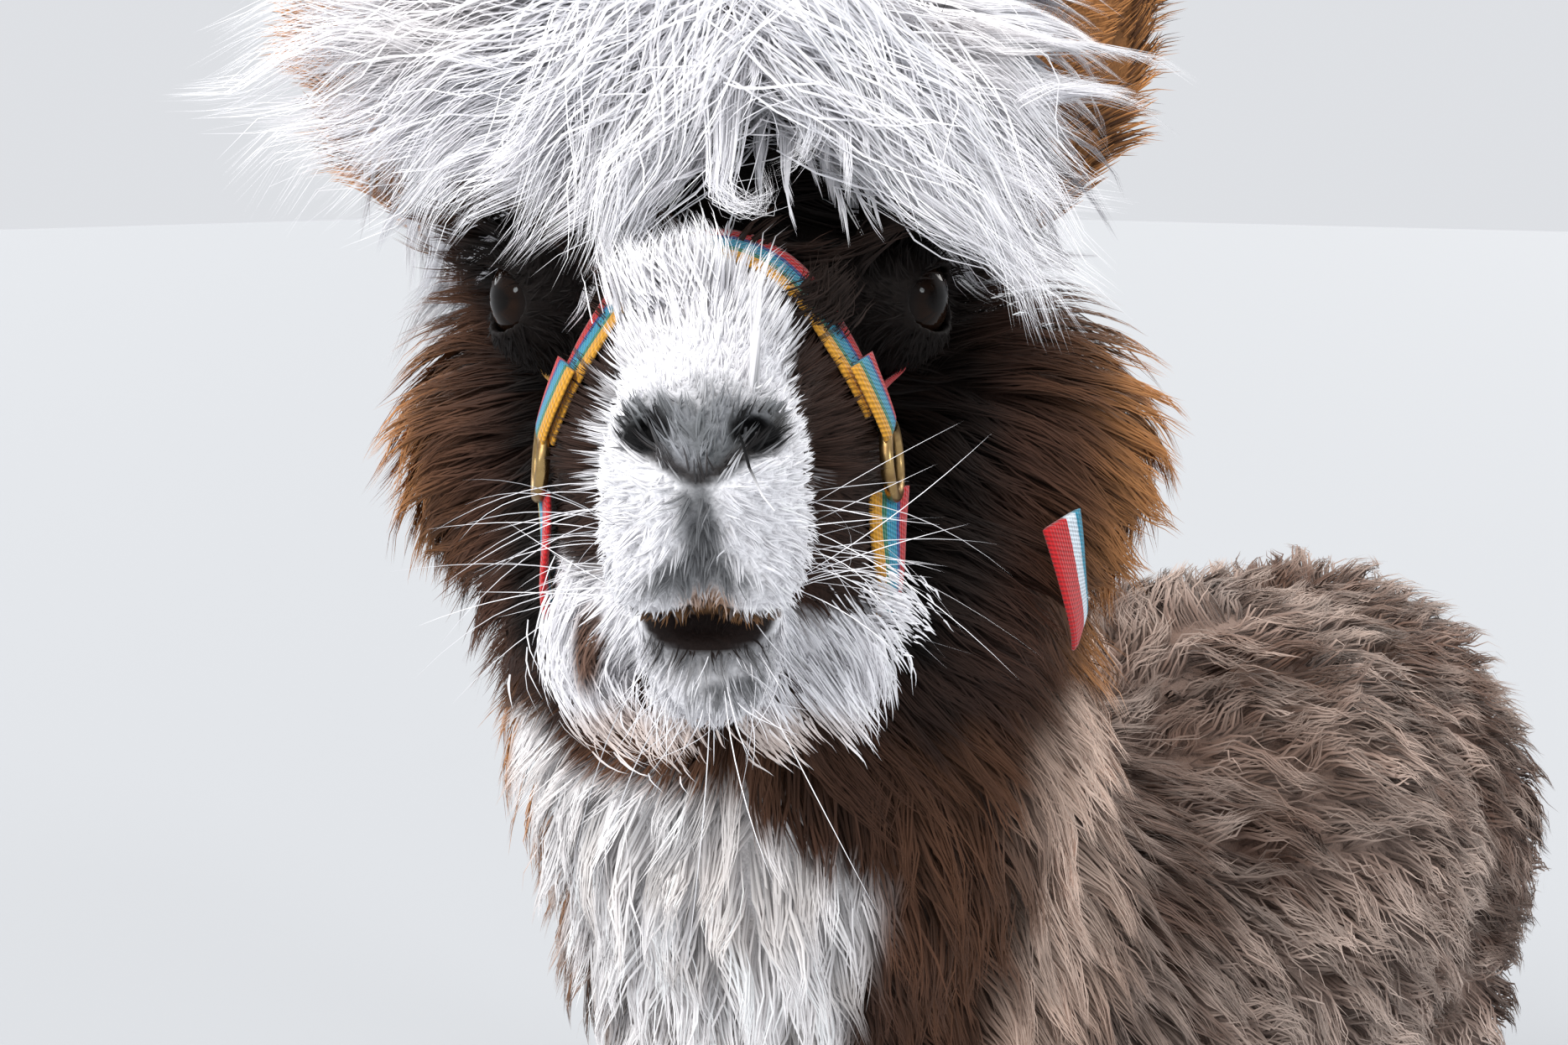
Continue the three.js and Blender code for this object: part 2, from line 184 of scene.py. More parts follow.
def carve(form, tool, fillet):
    """A form with a tool's shape taken out of it."""

    def carved(p):
        a, b = form(p), -tool(p)
        h = np.maximum(fillet - np.abs(a - b), 0) / fillet
        return np.maximum(a, b) + h * h * fillet / 4

    return carved


def paired(form):
    """A form and its mirror image on the other side."""
    along, across = np.array([0, 1, 1], np.float32), np.array([1, 0, 0], np.float32)
    return lambda p: form(p * along + np.abs(p) * across)


def slope(form, p, step=0.6):
    """The direction straight away from a form's surface."""
    grad = np.empty_like(p)
    for axis in range(3):
        d = np.zeros(3, p.dtype)
        d[axis] = step
        grad[:, axis] = form(p + d) - form(p - d)
    return unit(grad)


def skull_form(depth):
    """Brow, eye sockets, muzzle, lips, chin and jaw."""
    return blend(
        14,
        ball([0, 70, -4], [60, 80, 60], depth),
        paired(ball([38, 15, 1], [27, 30, 27], depth)),
        limb([0, -6, -17], 36, [0, -80, -34], 26, 0.95, depth),
        ball([0, -88, -38], [23.5, 26, 24], depth),
        ball([0, -103, -29], [20, 14, 16], depth),
        paired(ball([12, -90, -56], [14, 19, 17], depth)),
        limb([0, 42, -72], 40, [0, -56, -82], 20, 0.95, depth),
        ball([0, -74, -89], [18, 20, 17], depth),
        paired(ball([25, -12, -52], [24, 42, 42], depth)),
        paired(ball([28, -32, -84], [19, 24, 22], depth)),
    )


def head_form(bare):
    """The head, with its coat (bare = 0) or without it (bare = 1)."""
    cheek, jaw, crown = (bare * DEPTH[k] for k in ("cheek", "jaw", "crown"))
    return blend(
        20,
        skull_form(bare * DEPTH["face"]),
        ball([-64, 66, -54], [58, 54, 66], cheek),
        ball([86, 70, -60], [74, 58, 72], cheek),
        ball([-44, 44, -100], [46, 46, 42], jaw),
        ball([60, 44, -104], [56, 48, 46], jaw),
        ball([0, 52, 56], [120, 86, 80], crown),
    )


def crown_form():
    """The full topknot, which swells out over both eyes and the parting."""
    return blend(
        20,
        ball([0, 52, 56], [120, 86, 80]),
        ball([-88, 8, 54], [54, 40, 31]),
        ball([-34, -4, 40], [30, 34, 27]),
        ball([96, 10, 34], [46, 40, 42]),
        ball([50, 2, 50], [40, 38, 31]),
        ball([6, -14, 58], [28, 24, 24]),
    )


def leg_form(bare, joints, foot_y, foot_x):
    """A leg from its own row of (place, radius, flattening, coat) joints, with two toes."""
    parts = []
    for (a, ra, flat, coat), (b, rb, _, _) in zip(joints, joints[1:]):
        parts.append(limb(a, ra, b, rb, flat, bare * DEPTH[coat]))
    toe = ball([17, foot_y - 30, 17], [17.5, 36, 25], bare * DEPTH["foot"])

    def toes(p):
        q = p.copy()
        q[:, 0] = np.abs(q[:, 0] - foot_x)
        return toe(q)

    return blend(22, *parts, toes)


FORE_JOINTS = [
    ([94, -262, 600], 104, 0.8, "thigh"),
    ([92, -238, 470], 88, 0.9, "thigh"),
    ([92, -258, 285], 57, 1, "shin"),
    ([FORE_FOOT_X, FORE_FOOT_Y + 4, 84], 40, 1, "pastern"),
    ([FORE_FOOT_X, FORE_FOOT_Y - 14, 26], 25, 1, "foot"),
]
HIND_JOINTS = [
    ([100, 262, 610], 126, 0.74, "thigh"),
    ([103, 225, 470], 110, 0.82, "thigh"),
    ([104, 338, 310], 56, 1, "shin"),
    ([HIND_FOOT_X, HIND_FOOT_Y + 6, 86], 40, 1, "pastern"),
    ([HIND_FOOT_X, HIND_FOOT_Y - 14, 26], 25, 1, "foot"),
]
NECK_TOP = from_head([6, 120, -80]) - BODY
NECK_LINE = [[0, SHOULDER_Y - 20, SPINE + 10], [42, -425, 806], [82, -500, 925], NECK_TOP.tolist()]


def body_form(bare):
    """Trunk, neck, tail and legs, with their coat (bare = 0) or without it (bare = 1)."""
    trunk, neck, tail = (bare * DEPTH[k] for k in ("trunk", "neck", "tail"))
    barrel = blend(
        60,
        limb([0, SHOULDER_Y, SPINE - 6], TRUNK_RADIUS - 8, [0, 0, SPINE], TRUNK_RADIUS, 0.9, trunk),
        limb([0, 0, SPINE], TRUNK_RADIUS, [0, HIP_Y - 40, SPINE - 8], TRUNK_RADIUS - 10, 0.9, trunk),
        ball([0, HIP_Y, SPINE - 20], [158, 165, 180], trunk),
        ball([0, SHOULDER_Y - 60, SPINE - 40], [150, 140, 165], trunk),
        limb(NECK_LINE[0], 168, NECK_LINE[1], 130, 1, neck),
        limb(NECK_LINE[1], 130, NECK_LINE[2], 116, 1, neck),
        limb(NECK_LINE[2], 116, NECK_LINE[3], 96, 1, neck),
    )
    rump = blend(
        24,
        barrel,
        limb([0, 398, 742], 46, [0, 436, 660], 50, 0.95, tail),
        limb([0, 436, 660], 50, [0, 452, 556], 26, 0.95, tail),
    )
    legs = paired(
        blend(
            10,
            leg_form(bare, FORE_JOINTS, FORE_FOOT_Y, FORE_FOOT_X),
            leg_form(bare, HIND_JOINTS, HIND_FOOT_Y, HIND_FOOT_X),
        )
    )
    return blend(24, rump, legs)


def whole_form(bare):
    """Head and body in one, in the world's axes."""
    head, body = head_form(bare), body_form(bare)
    return blend(30, lambda p: head(to_head(p)), lambda p: body(to_body(p)))


face_form = skull_form(0)
coat_form = whole_form(0)
bare_form = whole_form(1)

EYE_FACING = unit(np.array([0.88, -0.47, 0.03]))
EYE_LONG = unit(np.cross([0, 0, 1], EYE_FACING))
EYE_AXES = np.array([EYE_FACING, EYE_LONG, np.cross(EYE_FACING, EYE_LONG)], np.float32)


def turned_ball(centre, radii, axes):
    """A ball or egg whose radii follow axes of its own."""
    form = ball([0, 0, 0], radii)
    return lambda p: form(((p - np.array(centre)) @ axes.T).astype(np.float32))


def face_detail(form):
    """Lids, nostrils and the parted lips worked into the bare form."""
    cover = paired(ball(EYE, [EYE_RADIUS + 2.6] * 3))
    palate = ball([0, -72, -76], [19, 21, 14])
    form = blend(5, form, lambda p: cover(to_head(p)), lambda p: palate(to_head(p)))
    opening = paired(turned_ball(EYE + EYE_FACING * 16, [13, 15.5, 9.5], EYE_AXES))
    eye = paired(ball(EYE, [EYE_RADIUS + 0.3] * 3))
    nostril = paired(ball([13, -112, -21.5], [5.4, 10, 3.8]))
    comma = paired(limb([15, -111, -23], 2.6, [21, -104, -27], 1.4))
    mouth = ball([0, -99, -73.5], [21.5, 11, 5])
    corners = paired(limb([14, -97, -72], 2.4, [21, -84, -69], 1.4))
    cleft = limb([0, -112, -44], 1.6, [0, -108, -66], 2.4)
    crease = paired(limb([34, 8, 22], 1.0, [44, -10, 19], 1.0))
    tools = [
        (opening, 1.5), (eye, 0.5), (nostril, 3), (comma, 3),
        (mouth, 3), (corners, 3), (cleft, 5), (crease, 6),
    ]
    for tool, fillet in tools:
        form = carve(form, lambda p, tool=tool: tool(to_head(p)), fillet)
    return carve(form, lambda p: p[:, 2], 0.01)


skin_form = face_detail(bare_form)


# ---------- a mesh drawn round a form ----------
FAR = 1e3  # the value given to whole blocks of the grid that lie well away from the surface
BLOCKS_AT_ONCE = 400
NEAR_BLOCKS = 1.25  # blocks whose middle lies within so many of the surface are worked out in full


def polygonise(form, low, high, step, block=8):
    """Quads through the cells that a form's surface crosses, on a grid of the given step."""
    counts = (np.ceil((np.array(high) - low) / (step * block)).astype(int)) * block
    spots = [np.arange(n // block) * block * step + (block - 1) * step / 2 for n in counts]
    centres = np.stack(np.meshgrid(*spots, indexing="ij"), -1).reshape(-1, 3) + low
    rough = form(centres.astype(np.float32))
    values = np.where(rough < 0, -FAR, FAR).astype(np.float32).reshape(counts // block)
    for axis in range(3):
        values = np.repeat(values, block, axis)
    near = np.nonzero(np.abs(rough) < step * block * NEAR_BLOCKS)[0]
    offsets = np.stack(np.meshgrid(*[np.arange(block)] * 3, indexing="ij"), -1).reshape(-1, 3)
    corners = np.stack(np.unravel_index(near, counts // block), -1) * block
    for part in np.array_split(corners, max(1, len(corners) // BLOCKS_AT_ONCE)):
        cells = (part[:, None] + offsets).reshape(-1, 3)
        values[tuple(cells.T)] = form((cells * step + low).astype(np.float32))
    inside = values < 0
    rings, spots, flips = [], [], []
    for axis in range(3):
        here = [slice(None)] * 3
        ahead = [slice(None)] * 3
        here[axis], ahead[axis] = slice(0, -1), slice(1, None)
        base = np.argwhere(inside[tuple(here)] != inside[tuple(ahead)])
        base = base[(np.delete(base, axis, 1) > 0).all(axis=1)]
        after = base.copy()
        after[:, axis] += 1
        a, b = values[tuple(base.T)], values[tuple(after.T)]
        spot = base.astype(float)
        spot[:, axis] += a / (a - b)
        others = [(axis + 1) % 3, (axis + 2) % 3]
        ring = []
        for du, dv in ((0, 0), (-1, 0), (-1, -1), (0, -1)):
            cell = base.copy()
            cell[:, others[0]] += du
            cell[:, others[1]] += dv
            ring.append(np.ravel_multi_index(tuple(cell.T), counts))
        rings.append(np.stack(ring, 1))
        spots.append(spot)
        flips.append(a > 0)
    ring, spot, flip = np.concatenate(rings), np.concatenate(spots), np.concatenate(flips)
    cells, which = np.unique(ring, return_inverse=True)
    which = which.reshape(ring.shape)
    count = np.bincount(which.ravel(), minlength=len(cells))
    middle = np.stack([
        np.bincount(which.ravel(), np.repeat(spot[:, k], 4), len(cells)) / count for k in range(3)], 1)
    quads = np.where(flip[:, None], which[:, ::-1], which)
    return middle * step + low, quads


def settle(form, p, height=0.0, rounds=3):
    """Points moved straight on to a height above a form's surface."""
    for _ in range(rounds):
        p = p + slope(form, p) * (height - form(p))[:, None]
    return p


def split(quads):
    return np.concatenate([quads[:, [0, 1, 2]], quads[:, [0, 2, 3]]])


def tube(rows, columns, closed=False):
    """Quads between rows of points that each run round a ring."""
    i, j = np.meshgrid(np.arange(rows if closed else rows - 1), np.arange(columns), indexing="ij")
    i2, j2 = (i + 1) % rows, (j + 1) % columns
    corners = [i * columns + j, i2 * columns + j, i2 * columns + j2, i * columns + j2]
    return np.stack(corners, -1).reshape(-1, 4)


def capped_tube(rows, columns):
    """Triangles of a tube that a fan closes at each end, round the two points after its rows."""
    j = np.arange(columns)
    k = (j + 1) % columns
    end, last_row = rows * columns, (rows - 1) * columns
    first = np.stack([np.full(columns, end), j, k], 1)
    last = np.stack([np.full(columns, end + 1), last_row + k, last_row + j], 1)
    return np.concatenate([split(tube(rows, columns)), first, last])


def make_mesh(name, points, faces):
    """A smooth mesh in the scene, from points in millimetres."""
    mesh = bpy.data.meshes.new(name)
    faces = np.asarray(faces)
    mesh.vertices.add(len(points))
    mesh.vertices.foreach_set("co", (np.asarray(points, np.float32) * MM).ravel())
    mesh.loops.add(faces.size)
    mesh.loops.foreach_set("vertex_index", faces.ravel().astype(np.int32))
    mesh.polygons.add(len(faces))
    mesh.polygons.foreach_set("loop_start", np.arange(0, faces.size, faces.shape[1], dtype=np.int32))
    mesh.polygons.foreach_set("use_smooth", np.full(len(faces), True))
    mesh.update(calc_edges=True)
    made = bpy.data.objects.new(name, mesh)
    bpy.context.scene.collection.objects.link(made)
    return made


def add_map(made, name, uv, faces):
    """A UV map with one place for each point."""
    layer = made.data.uv_layers.new(name=name)
    layer.data.foreach_set("uv", uv[faces.ravel()].astype(np.float32).ravel())


def set_colours(made, colours):
    layer = made.data.color_attributes.new("colour", "FLOAT_COLOR", "POINT")
    rgba = np.ones((len(colours), 4), np.float32)
    rgba[:, :3] = np.clip(colours, 0, 1)
    layer.data.foreach_set("color", rgba.ravel())


# ---------- the skin's surface ----------
SKIN_STEP = 7.0
FACE_STEP = 1.5
FACE_LOW, FACE_HIGH = np.array([-84, -128, -134]), np.array([84, 46, 50])
SEAM_OVERLAP = 6
FACE_EDGE = 8  # the fine mesh stops this far inside its grid
LOW = np.array(cad_box[0]) / MM - 12
HIGH = np.array(cad_box[1]) / MM + 12


def in_face(h, spare=0):
    """Whether points are in the box of the finely meshed face, made larger by some spare."""
    inside = (h > FACE_LOW - spare + FACE_EDGE) & (h < FACE_HIGH + spare - FACE_EDGE)
    return inside.all(axis=1)


def used_only(points, faces):
    """The points that the faces use, and the faces renumbered for them."""
    kept, where = np.unique(faces, return_inverse=True)
    return points[kept], where.reshape(faces.shape)


EAR_ROOT, EAR_BEND, EAR_TIP = np.array([70, 84, 8]), np.array([138, 92, 62]), np.array([124, 102, 168])
EAR_HALF_WIDTH, EAR_HOLLOW, EAR_THICK = 30, 8, 12
EAR_LEAN = np.array([1, 0.35, 0])


def ear_shape(side, rows=43, columns=28):
    """A spear-shaped ear that leans out and curves in at its tip, hollow in front and round behind."""
    t = np.linspace(0, 1, rows + 2)[1:-1, None]
    a, b, c = EAR_ROOT, EAR_BEND, EAR_TIP
    centre = (1 - t) ** 2 * a + 2 * t * (1 - t) * b + t**2 * c
    up = unit(2 * (1 - t) * (b - a) + 2 * t * (c - b))
    out = unit(EAR_LEAN - up * (up @ EAR_LEAN)[:, None])
    back = -np.cross(out, up)
    half = EAR_HALF_WIDTH * np.sin(np.pi * t**0.8) ** 0.75 - 1
    body = (EAR_THICK - 2) * np.sin(np.pi * t) ** 0.5
    spoke = np.arange(columns)
    s = np.cos(2 * np.pi * spoke / columns)
    rise = np.where((spoke > 0) & (spoke < columns / 2), body, 0)
    bow = (rise - EAR_HOLLOW) * (1 - s * s)
    ring = centre[:, None] + out[:, None] * (half * s)[..., None] + back[:, None] * bow[..., None]
    points = np.concatenate([ring.reshape(-1, 3), [centre[0], centre[-1] + up[-1] * 2]])
    faces = capped_tube(rows, columns)
    points[:, 0] *= side
    if side < 0:
        faces = faces[:, ::-1]
    return from_head(points), faces


def build_skin():
    """Points and triangles of body, face and ears, and where each of these shells starts."""
    points, quads = polygonise(skin_form, LOW, HIGH, SKIN_STEP)
    points = settle(skin_form, points, rounds=2)
    rough = quads[~in_face(to_head(points[quads].mean(axis=1)), -SEAM_OVERLAP)]
    shells = [used_only(points, split(rough))]
    near, fine = polygonise(lambda h: skin_form(from_head(h)), FACE_LOW, FACE_HIGH, FACE_STEP)
    fine = fine[in_face(near[fine].mean(axis=1))]
    near = settle(skin_form, from_head(near), rounds=1)
    shells.append(used_only(near, split(fine)))
    shells += [ear_shape(side) for side in SIDES.values()]
    starts = np.cumsum([0] + [len(p) for p, _ in shells])
    faces = np.concatenate([f + start for (_, f), start in zip(shells, starts)])
    return np.concatenate([p for p, _ in shells]), faces, starts


skin_points, skin_faces, shell_starts = build_skin()


# ---------- colours of coat and skin, linear ----------
WHITE = np.array([0.88, 0.87, 0.90])
SILVER = np.array([0.50, 0.52, 0.57])
CREAM = np.array([0.66, 0.57, 0.50])
BLACK = np.array([0.008, 0.005, 0.004])
SOOT = np.array([0.022, 0.013, 0.010])
CHOCOLATE = np.array([0.050, 0.023, 0.015])
CHESTNUT = np.array([0.135, 0.060, 0.030])
GINGER = np.array([0.50, 0.22, 0.075])
# fawn, made pale enough to stand partly for painted sunlight
FAWN_AND_SUNLIGHT = np.array([0.80, 0.60, 0.49])
DUST = np.array([0.48, 0.38, 0.325])
DUST_DARK = np.array([0.150, 0.105, 0.085])
# straw, partly a painted highlight on the top of the back
STRAW_AND_HIGHLIGHT = np.array([0.66, 0.57, 0.52])
NOSE_GREY = np.array([0.055, 0.063, 0.068])
# near black of the nostrils, partly painted shade inside their openings
NOSTRIL_SHADE = np.array([0.006, 0.006, 0.007])
LIP_DARK = np.array([0.011, 0.006, 0.005])
LIP_TAN = np.array([0.38, 0.19, 0.08])
BLUSH = np.array([0.62, 0.45, 0.35])


def filled(colour, points):
    """The same colour for each point."""
    return np.tile(colour, (len(points), 1))


def paint(under, over, mask):
    """One colour laid over another where the mask is above 0."""
    return under + (over - under) * np.clip(mask, 0, 1)[:, None]


def spot(h, centre, radii, soft=0.25):
    """1 inside an ellipse or ball of the given radii, 0 outside, with a soft rim."""
    c, r = np.array(centre, float), np.array(radii, float)
    d = np.linalg.norm((h - c) / r, axis=1)
    return 1 - smoothstep(1 - soft, 1 + soft, d)


def face_colours(h, colour):
    """The blaze, muzzle, nose and chin painted over the dark face."""
    x, y, z = h.T
    ragged = noise(h, 5, 1) * 2.2 + noise(h, 12, 2) * 2.5
    left = np.interp(-y, [10, 30, 50, 75, 96], [-1, -15, -25, -27, -31])
    right = np.interp(-y, [10, 30, 50, 75, 92, 100], [0, 9, 19, 22.5, 27, 34])
    blaze = smoothstep(-1.5, 1.5, x - left + ragged) * smoothstep(-1.5, 1.5, right - x + ragged)
    blaze *= smoothstep(-12, -15, y + ragged * 0.6) * (z > -78)
    colour = paint(colour, WHITE, blaze)
    below = smoothstep(-66, -72, z + ragged + 12 * smoothstep(14, 24, x)) * (z < -60)
    below = below * smoothstep(-8, -20, y + ragged)
    lobes = spot(h, [0, -40, -94], [64, 60, 27])
    colour = paint(colour, WHITE, np.maximum(below * lobes, 0))
    colour = paint(colour, WHITE, spot(h, [-48, -38, -86], [13, 26, 20]))
    colour = paint(colour, WHITE, spot(h, [54, -34, -88], [13, 26, 10]))
    colour = paint(colour, CHESTNUT, 0.9 * spot(h, [-34, -54, -91], [4.5, 26, 12]))
    colour = paint(colour, BLUSH, 0.7 * spot(h, [-4, -62, -112], [42, 34, 10]))
    # grey hair of the nose, edged below by a dark line that runs down to a point
    edge = -21 - 11.5 * np.clip(1 - np.abs(x) / 19, 0, 1) ** 0.8
    nose = smoothstep(-3, 1, z - edge + ragged * 0.3)
    nose = nose * smoothstep(-8, -16, z + ragged * 0.9 + np.abs(x) * 0.12)
    nose *= smoothstep(24, 17, np.abs(x) + ragged * 0.4) * (y < -92)
    frosted = (0.35 + 0.6 * noise(h, 4, 7)) * smoothstep(20, 5, np.abs(x))
    grey = paint(filled(NOSE_GREY, h), SILVER * 0.4, frosted)
    colour = paint(colour, grey, 0.92 * nose)
    rim = smoothstep(3.2, 0.6, np.abs(z - edge - 1.5)) * smoothstep(21, 15, np.abs(x)) * (y < -92)
    colour = paint(colour, SOOT * 0.6, 0.85 * rim)
    # the nostrils near black: their dark skin, deepened into painted shade inside the openings
    across = np.abs(x) - 13
    nostril = 1 - smoothstep(0.8, 1.25, np.hypot(across / 6.6, (z + 22 + across * 0.35) / 4.2))
    colour = paint(colour, NOSTRIL_SHADE * 0.5, nostril * (y < -96))
    # painted shade down the groove from nose to lip, in grey
    groove = smoothstep(6.5, 2, np.abs(x + ragged * 0.5)) * (y < -98) * smoothstep(-31, -35, z)
    flare = smoothstep(4, -3, np.abs(x + ragged * 0.7) - np.clip(-44 - z, 0, 20) * 0.9) * (y < -94)
    grey = np.maximum(groove, flare * smoothstep(-40, -46, z)) * smoothstep(-63, -55, z + ragged * 0.6)
    colour = paint(colour, NOSE_GREY * 0.6, 0.85 * grey)
    colour = paint(colour, LIP_TAN, 0.9 * spot(h, [1, -106, -65.5], [6.5, 14, 5.5], 0.45))
    mouth = spot(h, [0, -96, -73], [27, 20, 7.6], 0.15)
    # painted shadow just under the lower lip, in grey
    below = spot(h, [1, -94, -80], [21, 18, 6], 0.5) * (z < -74)
    colour = paint(colour, NOSE_GREY * 0.8, 0.55 * below)
    colour = paint(colour, LIP_DARK, mouth)
    colour = paint(colour, LIP_TAN, 0.6 * spot(h, [1, -98, -68.6], [17, 20, 1.5], 0.6))
    # painted shadow: a grey spot on the chin, below the lower lip
    colour = paint(colour, NOSE_GREY * 0.6, 0.8 * spot(h, [10, -92, -90], [13, 12, 3], 0.5))
    return colour


def bib_edge(z):
    """How far the white of the throat reaches to the animal's left at each height."""
    return np.interp(z, [-300, -205, -178, -150, -118], [46, 54, 10, -14, -34])


def under_chin(x, z):
    """1 below the line where the white of the throat starts, lower behind the chin than beside it."""
    return smoothstep(-148, -155, z + 17 * smoothstep(-76, -54, x))


def head_colours(h, colour, tip):
    """Dark wool round the face that turns ginger at its tips, and the white of the throat."""
    x, y, z = h.T
    ragged = noise(h, 14, 3) * 7
    wide = np.abs(x) + np.where(x > 0, -20, 4)
    wool = paint(filled(BLACK * 1.6, h), CHOCOLATE, smoothstep(58, 80, wide + ragged))
    wool = paint(wool, CHESTNUT, 0.85 * smoothstep(78, 104, wide + ragged))
    bleach = smoothstep(98, 122, wide + ragged * 1.1) * smoothstep(118, 72, y + ragged)
    wool = paint(wool, GINGER, 0.9 * bleach * (0.35 + 0.65 * smoothstep(0.2, 0.8, tip)))
    wool = paint(wool, CHOCOLATE, 0.5 * smoothstep(-80, -130, z + ragged) * smoothstep(118, 90, wide))
    back = smoothstep(96, 130, y)
    wool = paint(wool, CHESTNUT * 0.8, 0.8 * back)
    throat = under_chin(x, z + ragged * 0.3) * smoothstep(-82, -72, x + ragged * 0.4)
    throat = throat * smoothstep(6, -6, x - bib_edge(z) + ragged * 0.5)
    wool = paint(wool, WHITE, throat * smoothstep(130, 100, y))
    in_head = smoothstep(-158, -140, z + ragged * 1.5 + np.maximum(y - 60, 0) * 0.3)
    colour = paint(colour, wool, in_head)
    face = smoothstep(34, 22, y) * smoothstep(74, 66, np.abs(x)) * smoothstep(-122, -112, z)
    colour = paint(colour, paint(filled(SOOT, h), CHOCOLATE, 0.4 + 0.5 * noise(h, 18, 4)), face)
    # near black round the eyes and on the face behind the bridge: dark hair, deepened into painted shade
    # cast by the topknot's fringe
    near_eye = 1 - smoothstep(24, 44, np.linalg.norm(one_sided(h) - EYE, axis=1))
    colour = paint(colour, BLACK * 0.7, np.maximum(face * smoothstep(-22, -8, y), near_eye))
    return face_colours(h, colour)


def body_colours(b, tip):
    """Dusty brown fleece, darker under its sun-bleached tips, on dark brown legs."""
    patch = noise(b, 120, 5) * 0.5 + noise(b, 48, 6) * 0.6 + noise(b, 18, 14) * 0.4
    fleece = paint(filled(DUST, b), DUST_DARK, smoothstep(-0.35, 0.45, patch))
    # straw on the top of the back, fading towards the shoulders: sun-bleached wool, and a painted
    # highlight where light falls from above
    bleached = smoothstep(700, 850, b[:, 2]) * smoothstep(-220, -80, b[:, 1])
    fleece = paint(fleece, STRAW_AND_HIGHLIGHT, 0.5 * bleached * smoothstep(0.1, 0.7, noise(b, 60, 99)))
    fleece = paint(fleece, CHOCOLATE * 2, smoothstep(0.8, 0.1, tip) * 0.65)
    legs = smoothstep(500, 330, b[:, 2])
    fleece = paint(fleece, CHESTNUT * 0.7, 0.8 * legs)
    return paint(fleece, CHOCOLATE, 0.8 * smoothstep(300, 120, b[:, 2]))


def neck_colours(h, colour):
    """Brown neck, pale fawn on its left that is partly painted sunlight, and ginger on its right, with a
    white bib.
    """
    x, y, z = h.T
    ragged = noise(h * [1, 1, 0.35], 16, 8) * 12 + noise(h * [1, 1, 0.4], 45, 9) * 12
    front = smoothstep(190, 120, y + ragged * 0.5)
    neck = smoothstep(-100, -130, z) * smoothstep(-520, -330, z + ragged)
    brown = paint(filled(CHOCOLATE, h), CHESTNUT, 0.5 + 0.5 * noise(h, 40, 10))
    fore = smoothstep(250, 120, y + ragged * 2)
    colour = paint(colour, brown, neck * (0.35 + 0.65 * fore))
    low = smoothstep(-420, -260, z + ragged * 2) * smoothstep(210, 110, y + ragged * 2)
    # the neck's left side: fawn wool, brightened further as painted sunlight
    colour = paint(colour, FAWN_AND_SUNLIGHT, 0.85 * neck * low * smoothstep(100, 138, x + ragged * 0.9))
    colour = paint(colour, GINGER * 0.9, 0.9 * neck * low * smoothstep(-62, -88, x + ragged * 0.5))
    fade = smoothstep(-470, -380, z + ragged)
    bib = smoothstep(-84, -74, x + ragged * 0.5)
    bib = bib * smoothstep(8, -8, x - bib_edge(z) + ragged * 0.7) * front
    creamy = 0.4 * smoothstep(-0.1, 0.7, noise(h, 26, 15))
    white = paint(filled(WHITE * [1, 0.98, 0.95], h), CREAM, creamy)
    return paint(colour, white, bib * neck * fade * under_chin(x, z + ragged * 0.1))


def markings(p, tip=None):
    """The colour of the coat over each point, given how far along its strand it is from root to tip."""
    tip = np.full(len(p), 0.6) if tip is None else tip
    h, b = to_head(p), to_body(p)
    colour = neck_colours(h, body_colours(b, tip))
    near = (h[:, 2] > -190) & (h[:, 1] < 190)
    colour[near] = head_colours(h[near], colour[near], tip[near])
    ear = (np.abs(h[:, 0]) > 92) & (h[:, 2] > 36) & (h[:, 1] > 70)
    streaks = noise(h[ear] * [1, 1, 0.3], 5, 98) + 0.6 * noise(h[ear], 18, 100)
    colour[ear] = paint(filled(CHOCOLATE, streaks), GINGER * 0.8, 0.45 + 0.6 * streaks)
    return colour


# ---------- where each piece of coat grows, and how it lies ----------
def on_crown(h):
    """Whether the topknot grows at points of the head: on the brow and behind it, between the ears."""
    x, y, z = h.T
    brow = 32 + 24 * bump(x, 13, 32)
    return (z > np.where(y < 40, brow, 22)) & (y > -14) & (y < 128) & (np.abs(x) < 110)


NECK_RUN = np.array([0.15, -0.62, 0.77])  # the way the neck leaves the shoulders
PARTING = np.array([8, -10, 84])  # where the topknot's locks part, in the head's axes
NOSE_TIP = np.array([0, -120, -34])


def zones(p):
    """Which piece of coat grows at each point."""
    h, b = to_head(p), to_body(p)
    x, y, z = h.T
    head = (z > -146 + np.maximum(y - 60, 0) * 0.5) & (y < 150) & (np.abs(x) < 175)
    neck = ((b - np.array([0, -300, 650])) @ NECK_RUN > 60) & ~head
    crown = head & on_crown(h)
    thin = -coat_form(p) < 7
    face = head & ~crown & thin & (y < 60)
    tail = (b[:, 1] > 396) & (b[:, 2] > 520) & (np.abs(b[:, 0]) < 70)
    tail &= b[:, 1] + (b[:, 2] - 700) * 0.1 > 420
    leg = (b[:, 2] < 470) & ((np.abs(b[:, 1] + 258) < 110) | (np.abs(b[:, 1] - 300) < 150))
    leg &= (np.abs(b[:, 0]) > 32) | (b[:, 2] < 400)
    names = np.full(len(p), "trunk", dtype="<U12")
    masks = {"leg": leg, "tail": tail, "neck": neck, "cheek": head, "crown": crown, "face": face}
    for name, mask in masks.items():
        names[mask] = name
    return names


def sway(p, size, seed):
    """A direction that wanders smoothly from place to place."""
    return np.stack([noise(p, size, seed + k) for k in range(3)], 1)


def turned(h_direction):
    """A direction of the head's axes, in the world's."""
    return h_direction @ HEAD_AXES


